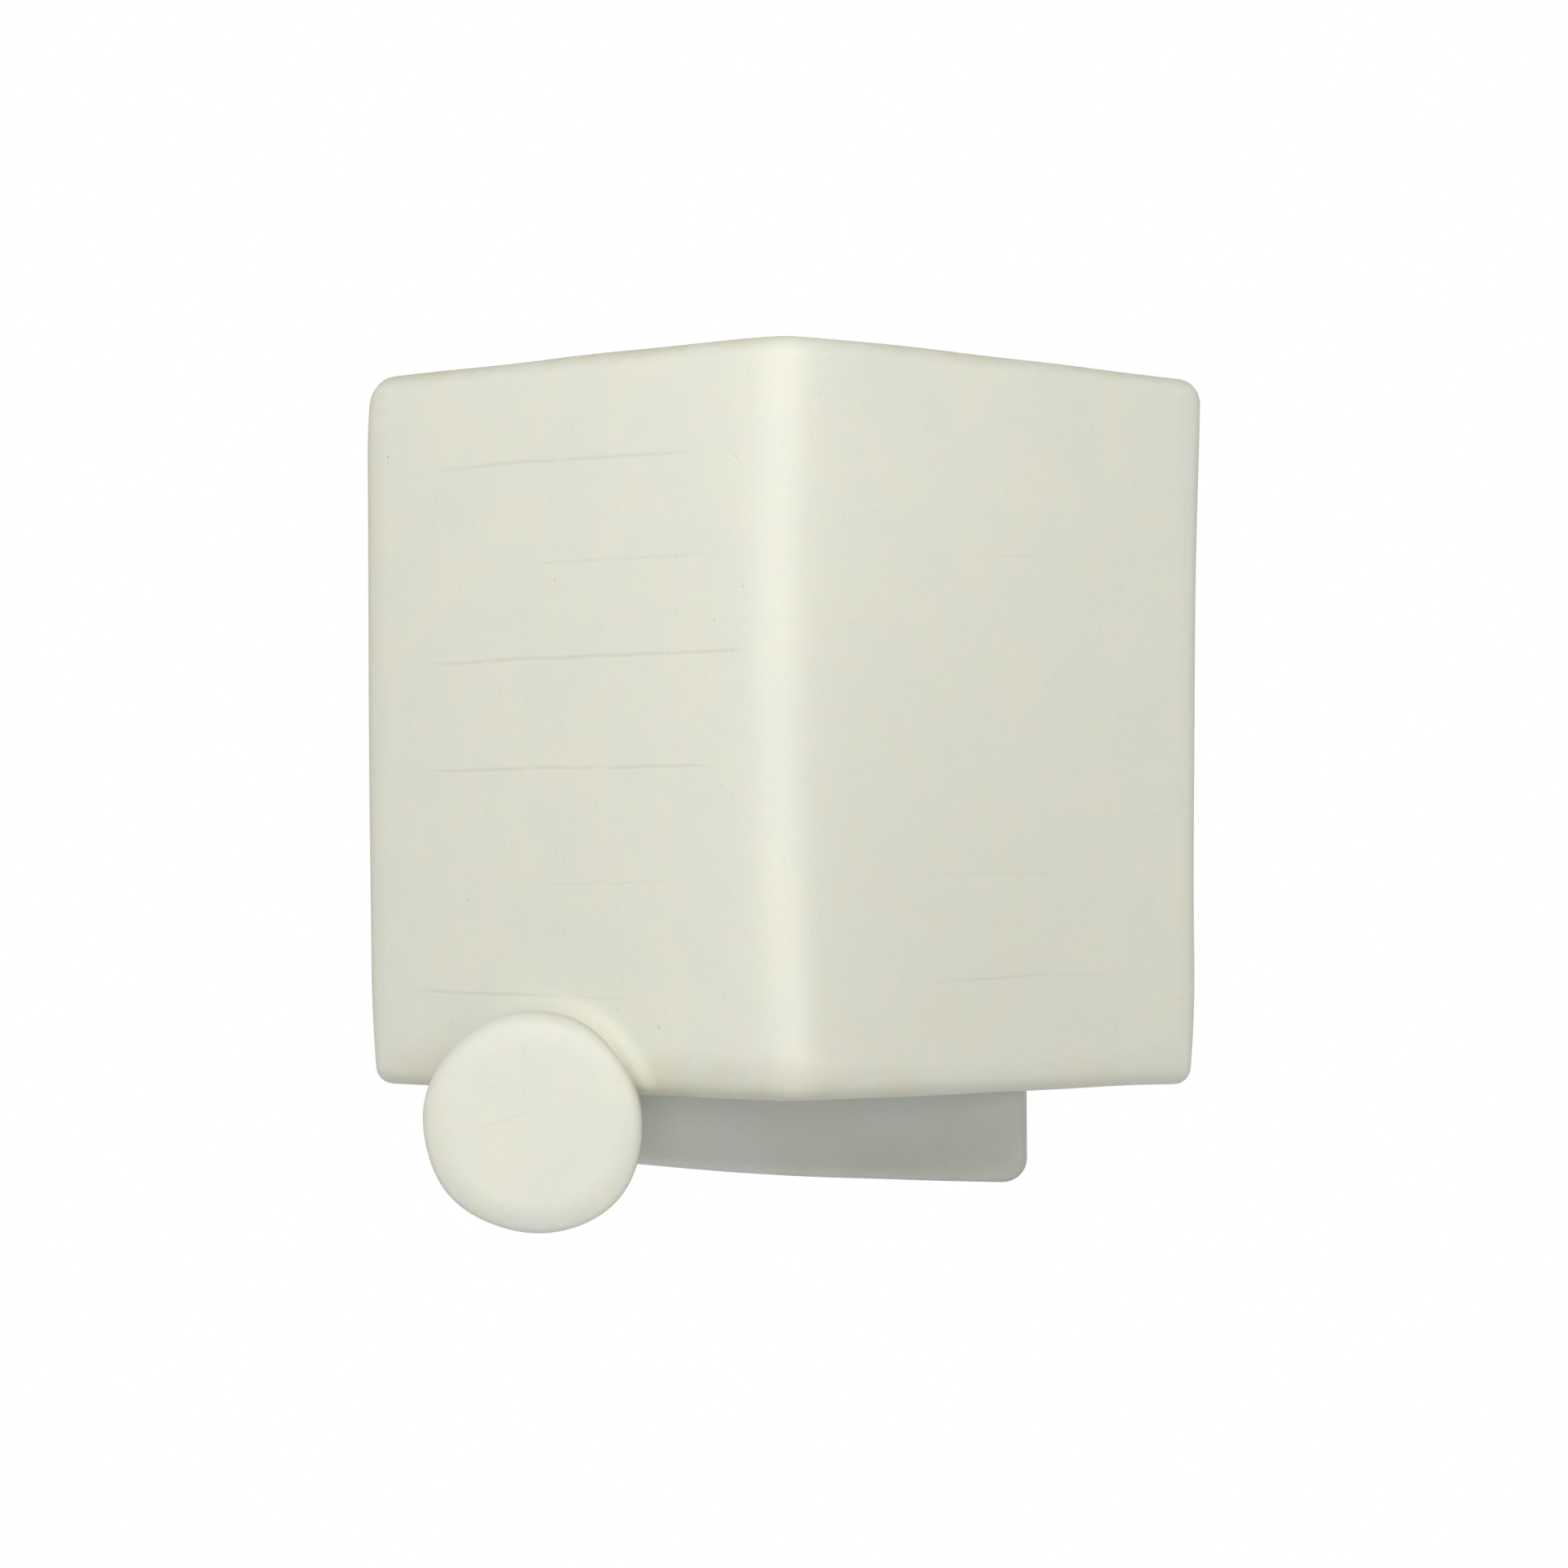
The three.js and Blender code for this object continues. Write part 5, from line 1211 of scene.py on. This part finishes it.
def knob_rim_painted_shade(recipe):
    """How much painted shade darkens the knob near its edge, most at the upper right, not at all opposite."""
    across, up = recipe.x - knob_centre[0], recipe.z - knob_centre[1]
    reach = (across ** 2 + up ** 2) ** 0.5
    side = (0.5 + (across + up) / reach / math.sqrt(8)) * (up / reach).rise(*knob_rim_fade)
    return reach.rise(knob.radius - knob_rim_width, knob.radius) * side * knob_rim_tone


def plate_painted_shade(recipe):
    """How much painted shade darkens the wall plate towards its right and its foot."""
    right = recipe.x.rise(plate_tone_left, plate_tone_right) * plate_right_tone
    return right + (1 - recipe.z.rise(plate_tone_low, plate_tone_high)) * plate_foot_tone


# Clay: sizes and depths of its patterns in millimetres, and how dark they are; the pinhole and mark tones set
# the painted shade in the pits, creases and nicks
cloud_size, blush_size, lump_size = 15, 8, 6
grain_size, speck_size, stroke_size = 0.55, 1.3, 1.6
pinhole_spacing, pinhole_cluster, pinhole_share = 11, 7, 0.05
grain_depth, stroke_depth, lump_depth, pinhole_depth = 0.03, 0.02, 0.1, 0.25
grain_tone, speck_tone, blush_tone, pinhole_tone, mark_tone = 0.2, 0.08, 0.7, 0.5, 0.3
cloud_levels, blush_levels = (0.35, 0.65), (0.5, 0.75)
speck_levels, cluster_levels = (0.56, 0.74), (0.55, 0.65)
clay_roughness, grain_roughness = 0.78, 0.12
rim_least, rim_clouds = 0.8, 0.4
# Creases and nicks
crease_bend_size, crease_wander, crease_fade, crease_depth = 23, 1.7, 12, 0.05
crease_gap_size, crease_gap_levels = 9, (0.2, 0.48)
crease_lip_shift, crease_lip_share = 1.5, 0.4
nick_depth = 0.15
face_fade = 1                # depth over which the marks of a front face end inside the clay
# Painted shade on the rims of the shade, knob and plate, and in a band down the right wing: widths and places
# in millimetres, and how dark
top_rim, top_rim_tone = 4.8, 0.6
side_rim, side_rim_tone = 7, 0.22
foot_flat, foot_rim, foot_middle, fold_gain, foot_rim_tone = 3, 12.5, -10, 1.35, 0.3
band_start, band_middle, band_end, band_low, band_high, band_tone = 8, 40, 95, -50, 100, 0.13
knob_rim_width, knob_rim_fade, knob_rim_tone = 3.2, (-0.8, 0), 0.45
plate_tone_left, plate_tone_right, plate_right_tone = -40, 75, 0.32
plate_tone_low, plate_tone_high, plate_foot_tone = -75, -57, 0.24
# Marks seen in the photo: creases run from (x, z) to (x, z), with a half width and a strength
shade_creases = [
    ((-86, 91), (-19, 90.3), 0.75, 0.7), ((-64, 67), (-12, 67.3), 0.65, 0.4),
    ((-88, 45), (-5, 45.6), 0.7, 0.9), ((-88, 19.7), (-12, 20.1), 0.65, 0.8),
    ((-64, -7.1), (-19, -5.5), 0.6, 0.3), ((-92, -32), (-47, -32.7), 0.65, 0.8),
    ((-54, -32.6), (-29, -32.6), 0.6, 0.4), ((38, 67), (66, 70.3), 0.6, 0.35),
    ((31, -4.5), (68, -3.9), 0.6, 0.3), ((31, -28.8), (66, -27.2), 0.65, 0.7),
    ((57, -27.4), (85, -28.6), 0.6, 0.45),
]
shade_nicks = [
    ((17.4, 101), 0.7, 0.7), ((-16, 52), 0.6, 0.6), ((-74.5, -10.7), 0.6, 0.8), ((-38.3, -35.2), 0.6, 0.8),
    ((-28.7, -38.9), 0.7, 1.0), ((-78.6, -39.4), 0.6, 0.7), ((-69.5, 10.2), 0.5, 0.5),
    ((-63.5, 2.2), 0.5, 0.5), ((76.5, 7.2), 0.5, 0.6),
]
knob_creases = [((-76, -63.5), (-50, -55), 0.6, 0.35)]
knob_nicks = [((-48.4, -53.4), 0.5, 0.4)]


# Stage, lights and camera

white = (1, 1, 1)
floor_colours = (0.80, 0.80, 0.79), (0.77, 0.77, 0.765)
ambient = (0.298, 0.298, 0.302)
panel_colour = (1.0, 0.998, 0.99)
# Panel lights: name, azimuth and elevation in degrees, distance and size in metres, power in watts
panels = [
    ("key", -4, 40, 1.0, 0.6, 5.2), ("front", 0, 0, 1.6, 0.6, 5.0), ("bounce", 0, -35, 1.6, 0.8, 4.3),
    ("rim_left", -130, 0, 1.0, 0.6, 2.4), ("rim_right", 130, 0, 1.0, 0.6, 2.4),
    ("rim_low", 180, -50, 1.0, 0.6, 2.2),
]


def make_stage():
    """A round pale floor well below the light. It shows its own colour near the middle, and white to
    the camera and to mirrors towards its rim."""
    level, radius, thickness, fade_start, cloud, cloud_tone = -450, 1300, 20, 600, 40, 0.3
    rows = [(0, level), (radius, level), (radius, level - thickness), (0, level - thickness)]
    floor = placed("floor", *turned(rows, (0, 0), True, 96), crisp_angle)
    recipe = Recipe("pale_floor", Roughness=0.9, Specular_IOR_Level=0.1)
    away = (recipe.x ** 2 + recipe.out ** 2) ** 0.5
    recipe.feed(Base_Color=recipe.mix(recipe.noise(cloud) * cloud_tone, *floor_colours))
    glow = recipe.add("ShaderNodeEmission", {}, {"Color": white, "Strength": 1})
    fade = recipe.seen() * away.rise(fade_start, radius - thickness)
    recipe.show(recipe.add("ShaderNodeMixShader", {}, {0: fade, 1: recipe.surface, 2: glow}))
    floor.data.materials.append(recipe.material)


def make_world():
    """White to the camera and to mirrors, and a soft even light on everything else."""
    world = bpy.data.worlds.new("studio")
    bpy.context.scene.world = world
    nodes = Nodes(world, "ShaderNodeOutputWorld")
    unseen, shown = [nodes.add("ShaderNodeBackground", {}, {"Color": colour}) for colour in (ambient, white)]
    nodes.show(nodes.add("ShaderNodeMixShader", {}, {0: nodes.seen(), 1: unseen, 2: shown}))


def make_lamp_panel(name, azimuth, elevation, distance, size, power):
    """A soft square panel light that faces the object. Its azimuth counts from straight in front."""
    light = bpy.data.lights.new(name, "AREA")
    light.shape = "RECTANGLE"
    light.size = light.size_y = size
    light.energy = power
    light.color = panel_colour
    turn, lift = math.radians(azimuth), math.radians(elevation)
    panel = bpy.data.objects.new(name, light)
    panel.location = (
        distance * math.sin(turn) * math.cos(lift), -distance * math.cos(turn) * math.cos(lift),
        distance * math.sin(lift),
    )
    panel.rotation_euler = (math.radians(90 - elevation), 0, turn)
    panel.visible_camera = False
    bpy.context.scene.collection.objects.link(panel)


def make_camera():
    """The photo's viewpoint: straight at the wall from 0.9 m. The focal length is in pixels of the
    photo's square frame, and the shift puts the axis where the photo has it."""
    frame_pixels = 1932
    focal_pixels = 4541
    axis_pixel = (930.7, 1051.1)
    viewer_place = (-6.84, -892, 0.53)
    camera = bpy.data.cameras.new("camera")
    camera.sensor_fit = "HORIZONTAL"
    camera.lens = camera.sensor_width * focal_pixels / frame_pixels
    camera.shift_x = (frame_pixels / 2 - axis_pixel[0]) / frame_pixels
    camera.shift_y = (axis_pixel[1] - frame_pixels / 2) / frame_pixels
    viewer = bpy.data.objects.new("camera", camera)
    viewer.location = [level * millimetre for level in viewer_place]
    viewer.rotation_euler = (math.radians(90), 0, 0)
    bpy.context.scene.collection.objects.link(viewer)
    bpy.context.scene.camera = viewer


shade_clay = fired_clay("shade_clay", srgb(238, 239, 225), shade_creases, shade_nicks, on_outer_face,
                        shade_rim_painted_shade)
knob_clay = fired_clay("knob_clay", srgb(235, 236, 223), knob_creases, knob_nicks, on_knob_face, knob_rim_painted_shade)
# The plate's clay is the shade's clay made darker and cooler, as painted shade
shaded_plate_clay = fired_clay("shaded_plate_clay", srgb(226, 230, 223), rims=plate_painted_shade)
zinc_steel = metal("zinc_steel", (0.60, 0.61, 0.62), 0.32)
turned_brass = metal("turned_brass", (0.78, 0.60, 0.30), 0.26)
lamp_metal = metal("nickelled_shell", (0.72, 0.71, 0.69), 0.24)
red_fibre = moulded("red_fibre", (0.36, 0.09, 0.06), 0.75, 0.02)
bakelite = moulded("black_bakelite", (0.022, 0.021, 0.023), 0.32, 0.006)
black_rubber = moulded("black_rubber", (0.020, 0.020, 0.021), 0.7, 0.02)
white_nylon = moulded("white_nylon", (0.80, 0.79, 0.75), 0.45, 0.008)
porcelain = moulded("porcelain", (0.86, 0.84, 0.78), 0.2, 0.003, Coat_Weight=0.6, Coat_Roughness=0.08)
phosphor = moulded("phosphor", (0.88, 0.66, 0.16), 0.6, 0.02)
bulb_glass = clear_glass("bulb_glass")
lead_colours = {
    "brown": (0.13, 0.055, 0.03), "grey": (0.16, 0.165, 0.175), "blue": (0.03, 0.11, 0.36),
    "green": (0.20, 0.34, 0.05),
}
insulation = {
    f"{name}_lead": moulded(f"{name}_insulation", colour, 0.5) for name, colour in lead_colours.items()
}
# Pieces that keep the CAD mesh: node, material, width of the rounded edges
softened = [
    ("mounting_bar", zinc_steel, 0.3), ("lamp_bracket", zinc_steel, 0.3),
    ("terminal_block", white_nylon, 0.35), ("drum_cap", white_nylon, 0.3),
]

bpy.context.scene.view_settings.view_transform = "Standard"
make_camera()
make_shade(shade_clay)
make_wall_plate(shaded_plate_clay)
make_knob(knob_clay)
make_studs(zinc_steel)
make_nuts(zinc_steel, turned_brass)
make_cap_nuts(turned_brass)
make_washers(red_fibre)
make_grommets(black_rubber)
make_screws(zinc_steel, turned_brass)
make_earth_lug(turned_brass)
make_nipple(turned_brass)
make_holder_cap(bakelite)
make_holder_base(porcelain)
make_holder_skirt(bakelite)
make_bulb_contact(turned_brass)
make_bulb_shell(lamp_metal)
make_bulb_glass(bulb_glass)
make_bulb_stem(bulb_glass)
make_bulb_filament(phosphor)
make_dimmer_body(bakelite)
make_dimmer_bushing(turned_brass)
make_dimmer_washer(zinc_steel)
make_dimmer_spindle(zinc_steel)
make_knob_hub(turned_brass)
make_leads(insulation)
for node, material, edge in softened:
    soften(node, material, edge)

make_stage()
make_world()
for panel in panels:
    make_lamp_panel(*panel)
